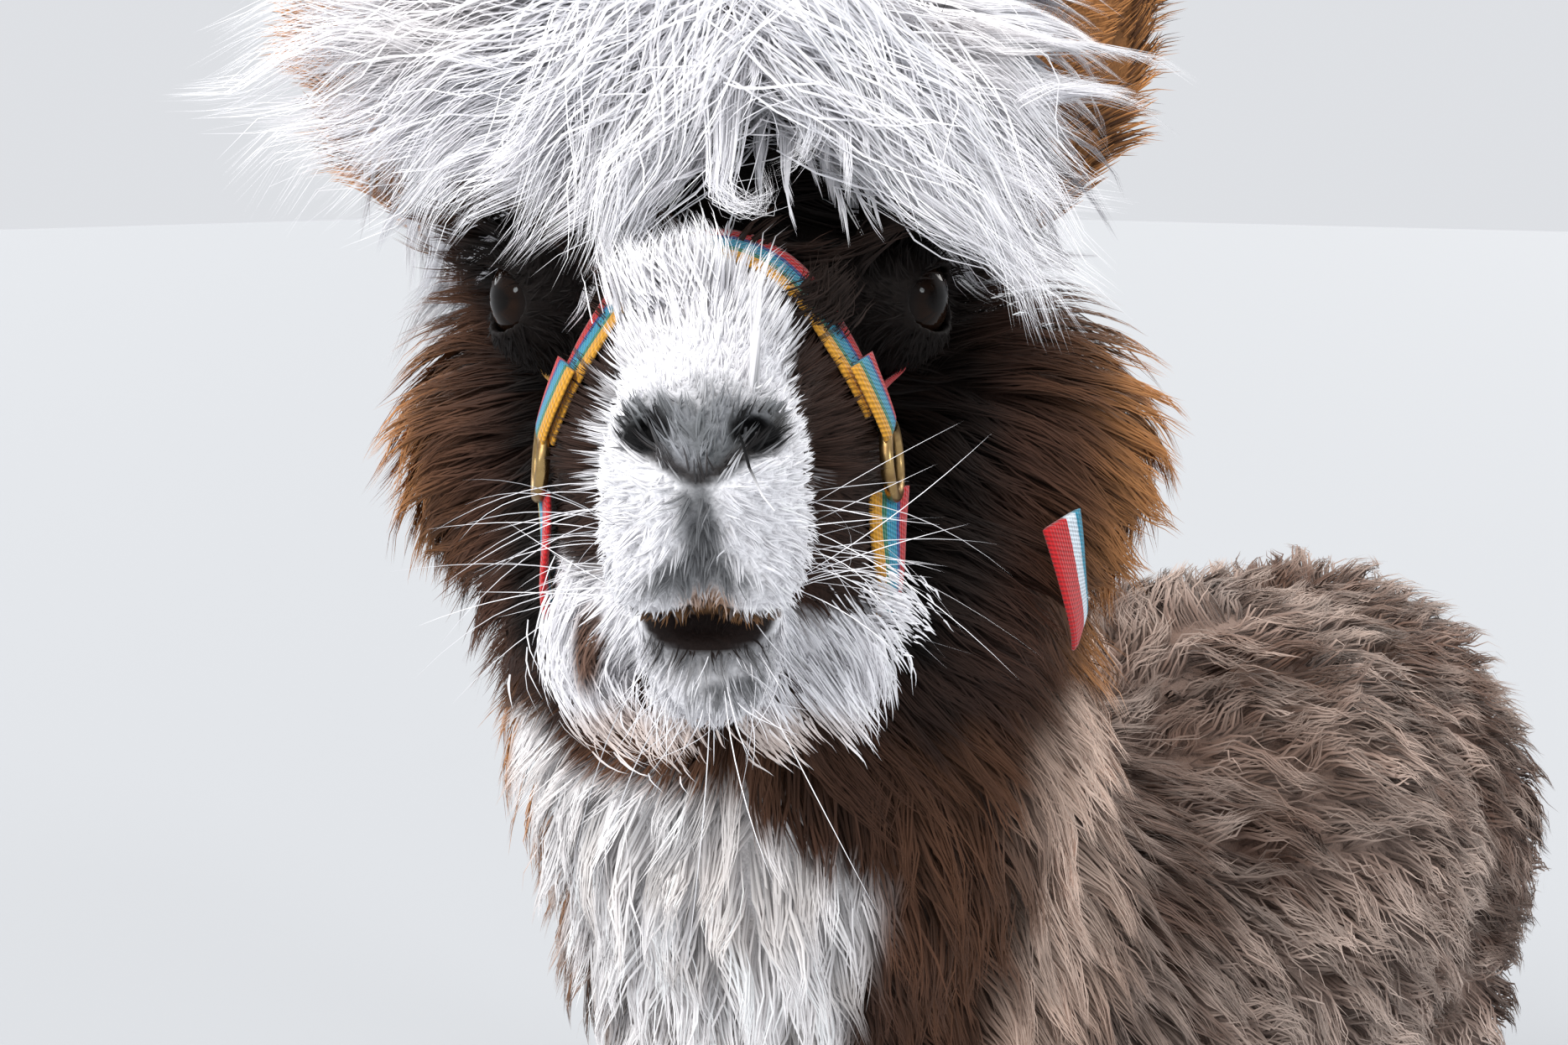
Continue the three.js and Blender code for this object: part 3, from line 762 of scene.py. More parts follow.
def lie_crown(p):
    """From the parting the locks fall to each side and forward over the brow."""
    h = to_head(p)
    x, y, z = h.T
    front = smoothstep(70, 10, y)
    forward = (y - 52) / 60 * (1 - front) - 0.12 * front
    fan = np.stack([(x - PARTING[0]) / 55, forward, (z - PARTING[2]) / 55 - 0.12], 1)
    droop = smoothstep(62, 104, np.abs(x - PARTING[0]))[:, None] * np.array([0, 0.22, -0.55])
    return turned(unit(unit(fan) + droop + 0.32 * sway(h, 40, 31) + 0.08 * sway(h, 18, 35)))


def lie_head(p):
    """Short hair runs back from the nose; wool on the cheeks stands out and falls."""
    h = to_head(p)
    x, y, z = h.T
    from_nose = unit(h - NOSE_TIP)
    chin = smoothstep(-66, -80, z)
    under_jaw = np.stack([x * 0.02, 0 * x + 0.3, 0 * x - 0.75], 1)
    from_nose = from_nose * (1 - chin[:, None]) + chin[:, None] * under_jaw
    side = np.sign(x) * smoothstep(0, 40, np.abs(x))
    wool = np.stack([side * 0.95, 0.12 + 0 * x, -0.10 + np.clip(z, -110, 20) * 0.0085], 1)
    w = smoothstep(-12, 34, y)[:, None]
    d = unit(from_nose) * (1 - w) + unit(wool) * w
    from_eye = one_sided(h) - EYE - EYE_FACING * 15
    at_lid = 1.6 * smoothstep(36, 20, np.linalg.norm(from_eye, axis=1))[:, None]
    d = d + unit(from_eye * np.stack([np.sign(x), 1 + 0 * x, 1 + 0 * x], 1)) * at_lid
    return turned(unit(d + 0.22 * w * sway(h, 24, 41) + 0.08 * sway(h, 9, 47)))


def lie_neck(p):
    """Wool that hangs, and runs down along the neck."""
    x = to_head(p)[:, 0]
    d = np.array([0, 0, -1.0]) - 0.35 * NECK_RUN
    return unit(d + 0.22 * sway(p, 40, 51) + turned(np.stack([x * 0.002, 0 * x, 0 * x], 1)))


def lie_trunk(p):
    """Fleece that hangs and runs back, broken up into tufts that point all ways."""
    x = to_body(p)[:, 0]
    d = np.stack([x * 0.0012, 0.5 + 0 * x, np.full(len(x), -0.75)], 1)
    return unit(d + 0.75 * sway(p, 30, 61))


def lie_leg(p):
    return unit(np.array([0, 0.12, -1.0]) + 0.16 * sway(p, 30, 71))


def lie_tail(p):
    return unit(np.array([0, 0.15, -1.0]) + 0.2 * sway(p, 30, 81))


# the coat's surface on the head, over the eyelids and with the full topknot
crown_top = crown_form()
lid_cover = paired(ball(EYE, [EYE_RADIUS + 4.6] * 3))
lidded_form = blend(5, coat_form, lambda p: lid_cover(to_head(p)))
crowned_form = blend(16, coat_form, lambda p: crown_top(to_head(p)))

# the room that the tips of the coat stay in, a little larger than the solids and clear of the ground
ROOM_LOW = np.array(cad_box[0]) / MM + [-20, -40, 2]
ROOM_HIGH = np.array(cad_box[1]) / MM + [20, 40, 40]


# ---------- growing coat ----------
QUICK = 1


def smooth_route(points, count):
    """Evenly spread points on a smooth curve through the given ones."""
    p = np.array(points, float)
    p = np.concatenate([[2 * p[0] - p[1]], p, [2 * p[-1] - p[-2]]])
    found = []
    for a, b, c, d in zip(p, p[1:], p[2:], p[3:]):
        t = np.linspace(0, 1, 24, endpoint=False)[:, None]
        bend, twist = 2 * a - 5 * b + 4 * c - d, 3 * b - a - 3 * c + d
        found.append(0.5 * (2 * b + (c - a) * t + bend * t**2 + twist * t**3))
    line = np.concatenate([*found, p[-2:-1]])
    away = np.concatenate([[0], np.cumsum(np.linalg.norm(np.diff(line, axis=0), axis=1))])
    at = np.linspace(0, away[-1], count)
    return np.stack([np.interp(at, away, line[:, k]) for k in range(3)], 1)


def trace(root, length, lie, form, steps, layer, lift, opts):
    """Curves that leave their roots, rise to their layer in the coat and follow its lie."""
    depth = -form(root)
    line = [root]
    p, out = root, slope(form, root)
    for k in range(1, steps + 1):
        t = k / steps
        along = lie(p)
        away = (along * out).sum(1, keepdims=True)
        free = np.where(away > 0, opts["cling"] * (1 - opts["flare"] * smoothstep(0.4, 1, t)), 1)
        along = unit(along - out * away * free)
        p = p + along * (length / steps)[:, None]
        out = slope(form, p)
        height = -depth * (1 - layer * min(1, t**0.55 * 1.05)) + lift * t ** opts["lifting"]
        move = height - form(p)
        move = np.where(move < 0, move * (1 - opts["loose"] * smoothstep(0.4, 1, t)), move)
        p = p + out * np.clip(move, -min(12, opts["climb"]), opts["climb"])[:, None]
        line.append(p)
    return np.stack(line, 1)


def strands(roots, guides, owner, opts, rng):
    """Strand centrelines: each follows its lock's curve and gathers to it towards the tip."""
    steps = guides.shape[1] - 1
    n = len(roots)
    t = np.linspace(0, 1, steps + 1)
    reach = rng.uniform(opts["short"], 1.0, n)
    place = np.clip(t[None] * reach[:, None] * steps, 0, steps - 1e-6)
    low = place.astype(int)
    part = (place - low)[..., None]
    own = guides[owner]
    rows = np.arange(n)[:, None]
    path = own[rows, low] * (1 - part) + own[rows, low + 1] * part
    offset = roots - own[:, 0]
    gather = rng.normal(opts["clump"], 0.12, n)
    gather = np.where(rng.random(n) < opts["stray"], -0.5, np.clip(gather, 0, 0.97))
    keep = 1 - gather[:, None] * smoothstep(0, 0.9, t[None]) ** 0.8
    return path + offset[:, None] * keep[..., None], t


BAKE_PATCH = 0.003  # how wide each strand's own place is in the map that takes the baked coat


def ribbon_mesh(name, path, up, width, colours, uv, twist, tip_power=1.4):
    """Tapered strips along the paths, each a little rounded by its normals."""
    n, points, _ = path.shape
    steps = points - 1
    t = np.linspace(0, 1, points)
    run = unit(np.gradient(path, axis=1))
    base = up[:, None]
    across = unit(np.cross(run, base))
    face = np.cross(across, run)
    c, s = np.cos(twist)[:, None, None], np.sin(twist)[:, None, None]
    across, face = across * c + face * s, face * c - across * s
    half = width[:, None] / 2 * (1 - t**tip_power)[None] * (0.55 + 0.45 * smoothstep(0, 0.25, t))[None]
    left = path[:, :-1] - across[:, :-1] * half[:, :-1, None]
    right = path[:, :-1] + across[:, :-1] * half[:, :-1, None]
    verts = np.concatenate([np.stack([left, right], 2).reshape(n, -1, 3), path[:, -1:]], 1)
    middle = 0.62 * base + 0.38 * face
    nl = unit(middle - 0.5 * across)
    nr = unit(middle + 0.5 * across)
    normals = np.stack([nl[:, :-1], nr[:, :-1]], 2).reshape(n, -1, 3)
    normals = np.concatenate([normals, unit(middle)[:, -1:]], 1)
    per = 2 * steps + 1
    k = np.arange(steps - 1)
    one = np.concatenate([
        np.stack([2 * k, 2 * k + 1, 2 * k + 3], 1),
        np.stack([2 * k, 2 * k + 3, 2 * k + 2], 1),
        [[2 * steps - 2, 2 * steps - 1, 2 * steps]],
    ])
    faces = (np.arange(n)[:, None, None] * per + one).reshape(-1, 3)
    made = make_mesh(name, verts.reshape(-1, 3), faces)
    spread = np.repeat(colours, 2, axis=1)[:, :-1]
    set_colours(made, spread.reshape(-1, 3))
    u = np.tile([0, 1], steps).tolist() + [0.5]
    v = np.repeat(t[:-1], 2).tolist() + [1]
    local = np.stack([u, v], 1) * BAKE_PATCH - BAKE_PATCH / 2
    add_map(made, "OFBake", np.clip(uv[:, None] + local, 0, 1).reshape(-1, 2), faces)
    made.data.normals_split_custom_set_from_vertices(normals.reshape(-1, 3).astype(np.float32))
    made.data.materials.append(FLEECE)
    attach(made, "root")
    return made


def around(p, axis_from, axis_to, side_hint):
    """The turn of points about an axis and their way along it, each from 0 to 1."""
    run = unit(np.array(axis_to, float) - axis_from)
    a = unit(np.cross(run, side_hint))
    b = np.cross(run, a)
    q = p - axis_from
    turn = np.arctan2(q @ b, q @ a) / (2 * np.pi) + 0.5
    along = q @ run
    uv = np.stack([turn, along], 1)
    low, high = uv.min(0), uv.max(0)
    return 0.01 + 0.98 * (uv - low) / np.maximum(high - low, 1e-6)


def unwrap_round(place, *axis):
    """A way to lay a piece of coat out flat round an axis, in the head's or the body's own axes."""
    return lambda p: around(place(p), *axis)


def over_crown(p):
    """The crown laid out flat: the distance from its top goes round the middle."""
    q = to_head(p) - np.array([8, 50, 10])
    fall = np.arctan2(np.linalg.norm(q[:, :2], axis=1), q[:, 2])
    flat = unit(q[:, :2]) * fall[:, None] / np.pi
    return 0.5 + 0.49 * np.clip(flat * 1.1, -1, 1)


def unwrap_legs(p):
    """Each leg laid out in its own quarter of the map."""
    b = to_body(p)
    uv = np.zeros((len(p), 2))
    for column, side in enumerate((1, -1)):
        for row, (x, y) in enumerate(((FORE_FOOT_X, -258), (HIND_FOOT_X, 300))):
            mine = (np.sign(b[:, 0]) == side) & ((b[:, 1] < 20) == (row == 0))
            if mine.any():
                q = around(b[mine], [side * x, y, 0], [side * x, y, 500], [0, 1, 0])
                uv[mine] = (q + [column, row]) / 2
    return uv


# the triangles of body and face that hair grows on; none grows twice where they overlap, or in the eyes
tri = skin_points[skin_faces[skin_faces.max(axis=1) < shell_starts[2]]]
tri_middle = tri.mean(axis=1)
tri_area = np.linalg.norm(np.cross(tri[:, 1] - tri[:, 0], tri[:, 2] - tri[:, 0]), axis=1) / 2
tri_zone = zones(tri_middle)
tri_h = to_head(tri_middle)
body_count = (skin_faces.max(axis=1) < shell_starts[1]).sum()
tri_area[in_face(tri_h) & (np.arange(len(tri)) < body_count)] = 0
in_eye = (one_sided(tri_h) - EYE) @ EYE_AXES.T
tri_area[(in_eye[:, 0] > 0) & (np.hypot(in_eye[:, 1] / 16.5, in_eye[:, 2] / 10.5) < 1)] = 0


def scatter(chosen, count, rng):
    """Points spread evenly over the chosen triangles."""
    weight = tri_area * chosen
    pick = rng.choice(len(tri), count, p=weight / weight.sum())
    a, b = rng.random(count), rng.random(count)
    fold = a + b > 1
    a, b = np.where(fold, 1 - a, a)[:, None], np.where(fold, 1 - b, b)[:, None]
    corner = tri[pick]
    return corner[:, 0] + a * (corner[:, 1] - corner[:, 0]) + b * (corner[:, 2] - corner[:, 0])


LOOKS = {
    "clump": 0.7,  # how far the strands of a lock gather at its tip
    "short": 0.7,  # the shortest strand beside its lock's own length
    "stray": 0.06,  # the share of strands that stand away from their lock
    "wave": 1.5, "turns": 1.2,  # how wide the locks curl, and how often
    "jitter": 0.5,  # how much the strands of a lock differ in their curl
    "twist": 0.6,  # how far a strand may be turned about its length
    "flare": 0.4, "loose": 0.75,  # how far tips may leave the coat's surface
    "lifting": 2,  # how late a lock rises: 1 evenly, more towards its tip
    "climb": 16, "cling": 1,  # how fast a lock may leave the surface, and how closely it follows it
    "root_shade": 0.72,  # how much darker the roots are painted than the tips: painted shade where the coat shadows itself
    "tone": 0.08, "grain": 0.1,  # how much locks differ in tone, and strands
    "rooted": False,  # whether a strand keeps the colour of its root
}


def grow(name, chosen, count, lie, unwrap, length, width, lock, lift, seed, form=coat_form, steps=4,
         layers=(0.4, 1.0), colour=markings, **looks):
    """One piece of coat over the chosen part of the skin."""
    opts = LOOKS | looks
    count = int(count * QUICK)
    rng = np.random.default_rng(seed)
    roots = scatter(chosen, count, rng)
    centres = scatter(chosen, max(8, count // lock), rng)
    tree = KDTree(len(centres))
    for i, c in enumerate(centres):
        tree.insert(c, i)
    tree.balance()
    owner = np.array([tree.find(r)[1] for r in roots])
    depth = np.maximum(-form(centres), 1)
    reach = length(centres, depth) * rng.uniform(0.75, 1.2, len(centres))
    layer = layers[0] + (layers[1] - layers[0]) * rng.random(len(centres)) ** 0.6
    raised = lift * rng.uniform(-0.3, 1, len(centres))
    guides = trace(centres, reach, lie, form, steps, layer, raised, opts)
    path, t = strands(roots, guides, owner, opts, rng)
    up = slope(form, path[:, steps // 2])
    run = unit(np.gradient(path, axis=1))
    side = unit(np.cross(run, up[:, None]))
    turn = 2 * np.pi * (opts["turns"] * t[None] + rng.random(len(centres))[owner][:, None])
    turn = turn + rng.normal(0, opts["jitter"], len(roots))[:, None]
    spread = 1 + (rng.uniform(0.5, 1.3, len(roots))[:, None] - 1) * min(1, opts["jitter"] * 2)
    size = opts["wave"] * spread * (reach[owner][:, None] / reach.mean())
    grown = smoothstep(0, 0.4, t)[None]
    path = path + side * (np.sin(turn) * size * grown)[..., None]
    path = path + up[:, None] * (np.cos(turn) * size * grown * 0.6)[..., None]
    flat = path.reshape(-1, 3)
    tips = np.tile(t, len(roots))
    taken = np.repeat(path[:, 0], len(t), axis=0) if opts["rooted"] else flat
    shade = colour(taken, tips).reshape(len(roots), -1, 3)
    tone = rng.normal(1, opts["grain"], len(roots))
    tone = tone * rng.normal(1, opts["tone"], len(centres)).clip(0.4)[owner]
    # painted shade: each strand darkens towards its root, where the coat shadows itself
    dim = opts["root_shade"]
    shade = shade * tone[:, None, None] * (dim + (1 - dim) * smoothstep(0, 0.5, t))[None, :, None]
    twist = rng.uniform(-opts["twist"], opts["twist"], len(roots))
    thick = width * rng.uniform(0.7, 1.3, len(roots))
    path = np.clip(path, ROOM_LOW, ROOM_HIGH)
    return ribbon_mesh(name, path, up, thick, shade, unwrap(roots), twist)


# ---------- finishes ----------
class Wire:
    """A shader value that takes plain arithmetic."""

    def __init__(self, finish, socket):
        self.finish, self.socket = finish, socket

    def __add__(self, other):
        return self.finish.math("ADD", self, other)

    def __sub__(self, other):
        return self.finish.math("SUBTRACT", self, other)

    def __rsub__(self, other):
        return self.finish.math("SUBTRACT", other, self)

    def __mul__(self, other):
        return self.finish.math("MULTIPLY", self, other)

    __radd__, __rmul__ = __add__, __mul__


class Finish:
    """A material built round one principled shader."""

    def __init__(self, name, **uniform):
        self.material = bpy.data.materials.new(name)
        self.material.use_nodes = True
        self.tree = self.material.node_tree
        self.shader = self.tree.nodes["Principled BSDF"]
        for socket, value in uniform.items():
            self.shader.inputs[socket.replace("_", " ")].default_value = value

    def node(self, kind, settings=None, values=(), out=0, **named):
        """A new node, with its inputs set or wired by their order or by their names."""
        made = self.tree.nodes.new(kind)
        for key, value in (settings or {}).items():
            setattr(made, key, value)
        for index, value in [*enumerate(values), *named.items()]:
            if isinstance(value, Wire):
                self.tree.links.new(value.socket, made.inputs[index])
            else:
                made.inputs[index].default_value = value
        return Wire(self, made.outputs[out])

    def math(self, operation, *values):
        return self.node("ShaderNodeMath", {"operation": operation}, values)

    def ramp(self, wire, stops, interpolation="LINEAR"):
        """Colours that follow one another as a value rises, each with the place of its stop."""
        made = self.node("ShaderNodeValToRGB", values=(wire,))
        ramp = made.socket.node.color_ramp
        ramp.interpolation = interpolation
        while len(ramp.elements) < len(stops):
            ramp.elements.new(1)
        for element, (place, colour) in zip(ramp.elements, stops):
            element.position, element.color = place, (*colour, 1)
        return made

    def feed(self, socket, wire):
        self.tree.links.new(wire.socket, self.shader.inputs[socket])

    def bumped(self, height, strength, distance):
        bump = self.node("ShaderNodeBump", Height=height, Strength=strength, Distance=distance)
        self.feed("Normal", bump)

    def painted(self):
        """Base colour from the mesh's own colours."""
        return self.node("ShaderNodeVertexColor", {"layer_name": "colour"})

    def darkened(self, colour, shade):
        """A colour multiplied by a grey."""
        made = self.tree.nodes.new("ShaderNodeMix")
        made.data_type, made.blend_type = "RGBA", "MULTIPLY"
        made.inputs[0].default_value = 1
        self.tree.links.new(colour.socket, made.inputs[6])
        self.tree.links.new(shade.socket, made.inputs[7])
        return Wire(self, made.outputs[2])

    def grain(self, scale, detail=3.0, stretch=(1, 1, 1)):
        """Noise fixed to the piece itself."""
        place = self.node("ShaderNodeTexCoord", out="Object")
        place = self.node("ShaderNodeVectorMath", {"operation": "MULTIPLY"}, (place, stretch))
        return self.node("ShaderNodeTexNoise", Vector=place, Scale=scale, Detail=detail)


def painted_finish(name, roughness, specular):
    finish = Finish(name, Roughness=roughness, Specular_IOR_Level=specular)
    finish.feed("Base Color", finish.painted())
    return finish.material


def short_hair_finish():
    finish = Finish("short_hair_skin", Roughness=0.7, Specular_IOR_Level=0.12)
    fine = finish.grain(900)
    coarse = finish.grain(260)
    shade = finish.node("ShaderNodeMapRange", values=(fine, 0.3, 0.7, 0.72, 1.12))
    finish.feed("Base Color", finish.darkened(finish.painted(), shade))
    finish.bumped(fine * 0.6 + coarse * 0.4, 0.5, 0.0012)
    return finish.material


WEBBING_WIDTH, WEBBING_THICKNESS = 19, 2.4
SEAM_AT = 24  # how far a stitched seam lies from each end of a strap, in millimetres
PICK, END = 1.5, 1.2  # the spacing of the weave's threads along a strap and across it


def webbing_finish(name, bands):
    """Flat woven webbing with bands of colour along it; its map holds millimetres along and across."""
    finish = Finish(name, Roughness=0.78, Specular_IOR_Level=0.25, Sheen_Weight=0.25)
    place = finish.node("ShaderNodeUVMap", {"uv_map": "weave"})
    along = finish.node("ShaderNodeSeparateXYZ", values=(place,))
    across = Wire(finish, along.socket.node.outputs[1])
    wander = finish.node("ShaderNodeTexNoise", Vector=place, Scale=0.6, Detail=2.0)
    banded = finish.ramp((across + (wander - 0.5) * 0.7) * (1 / WEBBING_WIDTH), bands, "CONSTANT")
    thread = finish.math("SINE", along * (2 * math.pi / PICK) + across * 2.1)
    cross = finish.math("SINE", across * (2 * math.pi / END))
    weave = thread * 0.5 + cross * 0.35
    worn = finish.node("ShaderNodeTexNoise", Vector=place, Scale=0.25, Detail=4.0)
    shade = finish.node("ShaderNodeMapRange", values=(weave + worn * 0.8, -0.6, 1.2, 0.55, 1.15))
    ends = finish.node("ShaderNodeUVMap", {"uv_map": "stitching"})
    from_end = finish.node("ShaderNodeSeparateXYZ", values=(ends,))
    seam = finish.math("COMPARE", from_end, SEAM_AT, 0.6)
    finish.feed("Base Color", finish.darkened(banded, shade * (1 - seam * 0.75)))
    finish.bumped(weave, 0.6, 0.0005)
    return finish.material


RED, TURQUOISE = (0.52, 0.008, 0.012), (0.012, 0.26, 0.40)
GREEN, YELLOW = (0.02, 0.17, 0.09), (0.66, 0.31, 0.025)
BLUE, PALE = (0.015, 0.06, 0.24), (0.72, 0.80, 0.88)
RAINBOW = [(0, RED), (0.28, BLUE), (0.37, TURQUOISE), (0.64, GREEN), (0.76, YELLOW)]
LOOSE = [(0, TURQUOISE), (0.2, PALE), (0.45, RED)]


def brass_finish():
    finish = Finish("brass", Base_Color=(0.42, 0.27, 0.10, 1), Roughness=0.34, Metallic=1.0)
    tarnish = finish.grain(180, 4.0)
    finish.feed("Roughness", finish.node("ShaderNodeMapRange", values=(tarnish, 0.35, 0.7, 0.22, 0.5)))
    stops = [(0.35, (0.46, 0.31, 0.13)), (0.7, (0.20, 0.12, 0.05))]
    finish.feed("Base Color", finish.ramp(tarnish, stops))
    return finish.material


def nail_finish():
    finish = Finish("toenail", Base_Color=(0.05, 0.035, 0.025, 1), Roughness=0.38)
    grain = finish.grain(240, 4.0, (1, 0.12, 1))
    stops = [(0.3, (0.022, 0.014, 0.010)), (0.75, (0.12, 0.085, 0.055))]
    finish.feed("Base Color", finish.ramp(grain, stops))
    finish.bumped(grain, 0.35, 0.001)
    return finish.material


FLEECE = painted_finish("fleece", 0.62, 0.14)
WEBBING = webbing_finish("webbing", RAINBOW)
LOOSE_WEBBING = webbing_finish("loose_webbing", LOOSE)
BRASS, NAIL = brass_finish(), nail_finish()


def dress(made, material, nodes=()):
    """Gives a piece its material, parents it to the root empty and hides the solids that it stands for.
    """
    made.data.materials.append(material)
    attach(made, "root")
    if nodes:
        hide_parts(*nodes)


# ---------- skin ----------
skin = make_mesh("skin", skin_points, skin_faces)
set_colours(skin, markings(skin_points, np.zeros(len(skin_points)) + 0.25))
dress(skin, short_hair_finish(), [
    "head", "neck", "trunk", "tail", "ear_left", "ear_right",
    "foreleg_left", "foreleg_right", "hindleg_left", "hindleg_right"])


# ---------- coat ----------
def wool_length(scale, extra, longest):
    """Longer locks where the coat is deeper, up to a limit."""
    return lambda p, depth: np.minimum(extra + scale * depth, longest)


def crown_colour(p, tip):
    """White with silver and cream in it, greyed towards the roots as painted shade where the locks shadow
    each other.
    """
    h = to_head(p)
    # painted shade: silver grey towards the roots
    colour = paint(filled(WHITE, h), SILVER, 0.3 * smoothstep(0.4, 0.0, tip))
    colour = paint(colour, CREAM, 0.2 * smoothstep(0.1, 0.7, noise(h, 40, 91)))
    return paint(colour, SILVER, 0.3 * smoothstep(0.2, 0.8, noise(h, 12, 92)))


ROUTE_POINTS = 40
SWING_LENGTH = 58  # how long one whole swing of a lock from side to side is, in millimetres


def comb(name, routes, each, radius, width, colour, seed, steps, gather=0.7, wave=1.0, swing=0, part=1,
         root_shade=0.75, rough=1.5):
    """Single locks combed along given routes in the head's axes, each strand over part of its route."""
    rng = np.random.default_rng(seed)
    path, up = [], []
    t = np.linspace(0, 1, steps + 1)
    for route in routes:
        rough_route = np.array(route, float) + rng.normal(0, rough, (len(route), 3))
        line = smooth_route(rough_route, ROUTE_POINTS)
        whole = line[-1] - line[0]
        far = np.linspace(0, 1, ROUTE_POINTS)[:, None]
        bow = np.sin(2 * np.pi * (far * np.linalg.norm(whole) / SWING_LENGTH + rng.random()))
        line = line + unit(np.cross(whole, [0, 1.0, 0.2])) * bow * swing * smoothstep(0, 0.4, far)
        out = slope(face_form, line)
        spread = rng.normal(0, radius / 2, (each, 3))
        reach = rng.uniform(0.65, 1, each) * part
        start = rng.uniform(0, 1 - part, each) if part < 1 else np.zeros(each)
        place = (start[:, None] + t[None] * reach[:, None]) * (ROUTE_POINTS - 1)
        strand = np.stack([np.interp(place, np.arange(ROUTE_POINTS), line[:, k]) for k in range(3)], -1)
        keep = 1 - gather * smoothstep(0, 0.9, t)
        turn = 2 * np.pi * (1.3 * t[None] + rng.random()) + rng.normal(0, 0.15, each)[:, None]
        strand = strand + spread[:, None] * keep[None, :, None]
        strand[..., 0] += np.sin(turn) * wave * t * rng.uniform(0.5, 1.4, each)[:, None]
        strand[..., 1] += np.cos(turn) * wave * t * 0.6
        path.append(strand)
        up.append(np.tile(out[ROUTE_POINTS // 2] * 0.5 + [0, -0.6, 0.3], (each, 1)))
    path, up = np.concatenate(path), unit(np.concatenate(up))
    n = len(path)
    flat = from_head(path.reshape(-1, 3))
    shade = colour(flat, np.tile(t, n)).reshape(n, -1, 3) * rng.normal(1, 0.1, n)[:, None, None]
    # painted shade: each strand darkens towards its root, where the locks shadow each other
    shade = shade * (root_shade + (1 - root_shade) * smoothstep(0, 0.5, t))[None, :, None]
    world = flat.reshape(n, -1, 3)
    uv = np.clip(over_crown(world[:, 0]), 0.01, 0.99)
    thick = width * rng.uniform(0.7, 1.3, n)
    ribbon_mesh(name, world, up @ HEAD_AXES, thick, shade, uv, rng.uniform(-0.6, 0.6, n))


def fringe_route(tip_x, tip_y, tip_z):
    """A lock that leaves the parting, swells over the brow and falls to its tip."""
    tip = np.array([tip_x, tip_y, tip_z], float)
    whole = tip - PARTING
    swell = np.array([0, -7 + abs(tip_x) * 0.05, 7])
    near, half, far = (PARTING + whole * share for share in (0.22, 0.5, 0.8))
    return [near + [0, 2, 2], half + swell, far + swell * 0.6, tip]


# where the locks over the brow end: those to the animal's left, those to its right and over the right ear
LEFT_TIPS = [
    (36, -28, 42), (48, -28, 33), (62, -26, 17), (76, -22, 8), (90, -17, -4), (101, -13, -11),
    (107, -10, -13), (112, -8, -6), (117, -4, 6), (121, 2, 20), (86, -22, 12), (70, -27, 26),
    (102, -14, 8), (54, -30, 38), (96, -18, 22), (112, -4, 34), (82, -26, 40), (106, -2, 50),
]
RIGHT_TIPS = [
    (-16, -29, 24), (-25, -28, 12), (-33, -28, 9), (-42, -28, 10), (-52, -26, 12), (-64, -23, 15),
    (-78, -17, 15), (-92, -11, 16), (-106, -5, 19), (-119, 1, 26), (-30, -30, 20), (-47, -29, 22),
    (-68, -25, 30), (-90, -16, 32), (-112, -4, 36), (-128, 4, 44), (-20, -32, 36), (-58, -30, 44),
    (-100, -10, 52), (-124, 2, 60), (-134, 20, 52), (-141, 24, 66), (-142, 28, 82), (-136, 30, 98),
    (-124, 22, 94), (-130, 14, 76), (-152, 14, 46), (-160, 12, 56), (-159, 18, 68), (-150, 8, 36),
    (-138, 6, 25), (-156, 24, 80), (-148, 28, 94), (-142, 34, 110),
]
# the two curls that hang from the parting
HOOK = [(2, 8, 92), (3, -24, 66), (0, -34, 44), (3, -38, 31), (10, -38, 28), (15, -36, 33), (13, -35, 39)]
TWIRL = [(14, 6, 92), (18, -26, 68), (26, -32, 50), (24, -34, 38), (16, -35, 36)]


def crown_length(p, depth):
    """Long locks, kept short where they would hide the eyes or the ears."""
    x, y, z = to_head(p).T
    right = 1 + 0.55 * smoothstep(-30, -80, x)
    brow = 8 + 0.75 * np.abs(x - PARTING[0]) + 90 * smoothstep(45, 75, z) + 60 * smoothstep(20, 50, y)
    hem = np.interp(
        x, [-110, -60, -40, -15, 10, 40, 55, 76, 100, 112], [18, 12, 8, 24, 40, 36, 26, 8, -8, 0])
    hang = np.maximum(6 + z - hem, 8) + 90 * smoothstep(8, 36, y)
    reach = np.minimum(right * np.minimum(34 + 0.8 * depth, 88), np.minimum(brow, hang))
    return reach * (1 - 0.5 * smoothstep(48, 96, x) * smoothstep(15, 50, z))


on_left = tri_h[:, 0] > PARTING[0]
crown_zone = tri_zone == "crown"
for name, here, seed in (("topknot_left", on_left, 11), ("topknot_right", ~on_left, 12)):
    made = grow(
        name, crown_zone & here, 14200, lie_crown, over_crown, crown_length, width=0.75, lock=56, lift=11,
        seed=seed, form=crowned_form, steps=6, layers=(0.45, 1.0), colour=crown_colour, clump=0.84,
        wave=3.2, turns=0.9, stray=0.01, short=0.45, root_shade=0.84, tone=0.07, jitter=0.08, twist=0.25,
        grain=0.05)
    if name == "topknot_left":
        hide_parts("topknot")

fringe = [fringe_route(*tip) for tip in LEFT_TIPS + RIGHT_TIPS]
comb("fringe_locks", fringe, 130, 20, 0.75, crown_colour, 31, 7, wave=0.9, swing=3.6, root_shade=0.9)
comb("parting_curls", [HOOK, TWIRL], 150, 13, 0.7, crown_colour, 32, 12)

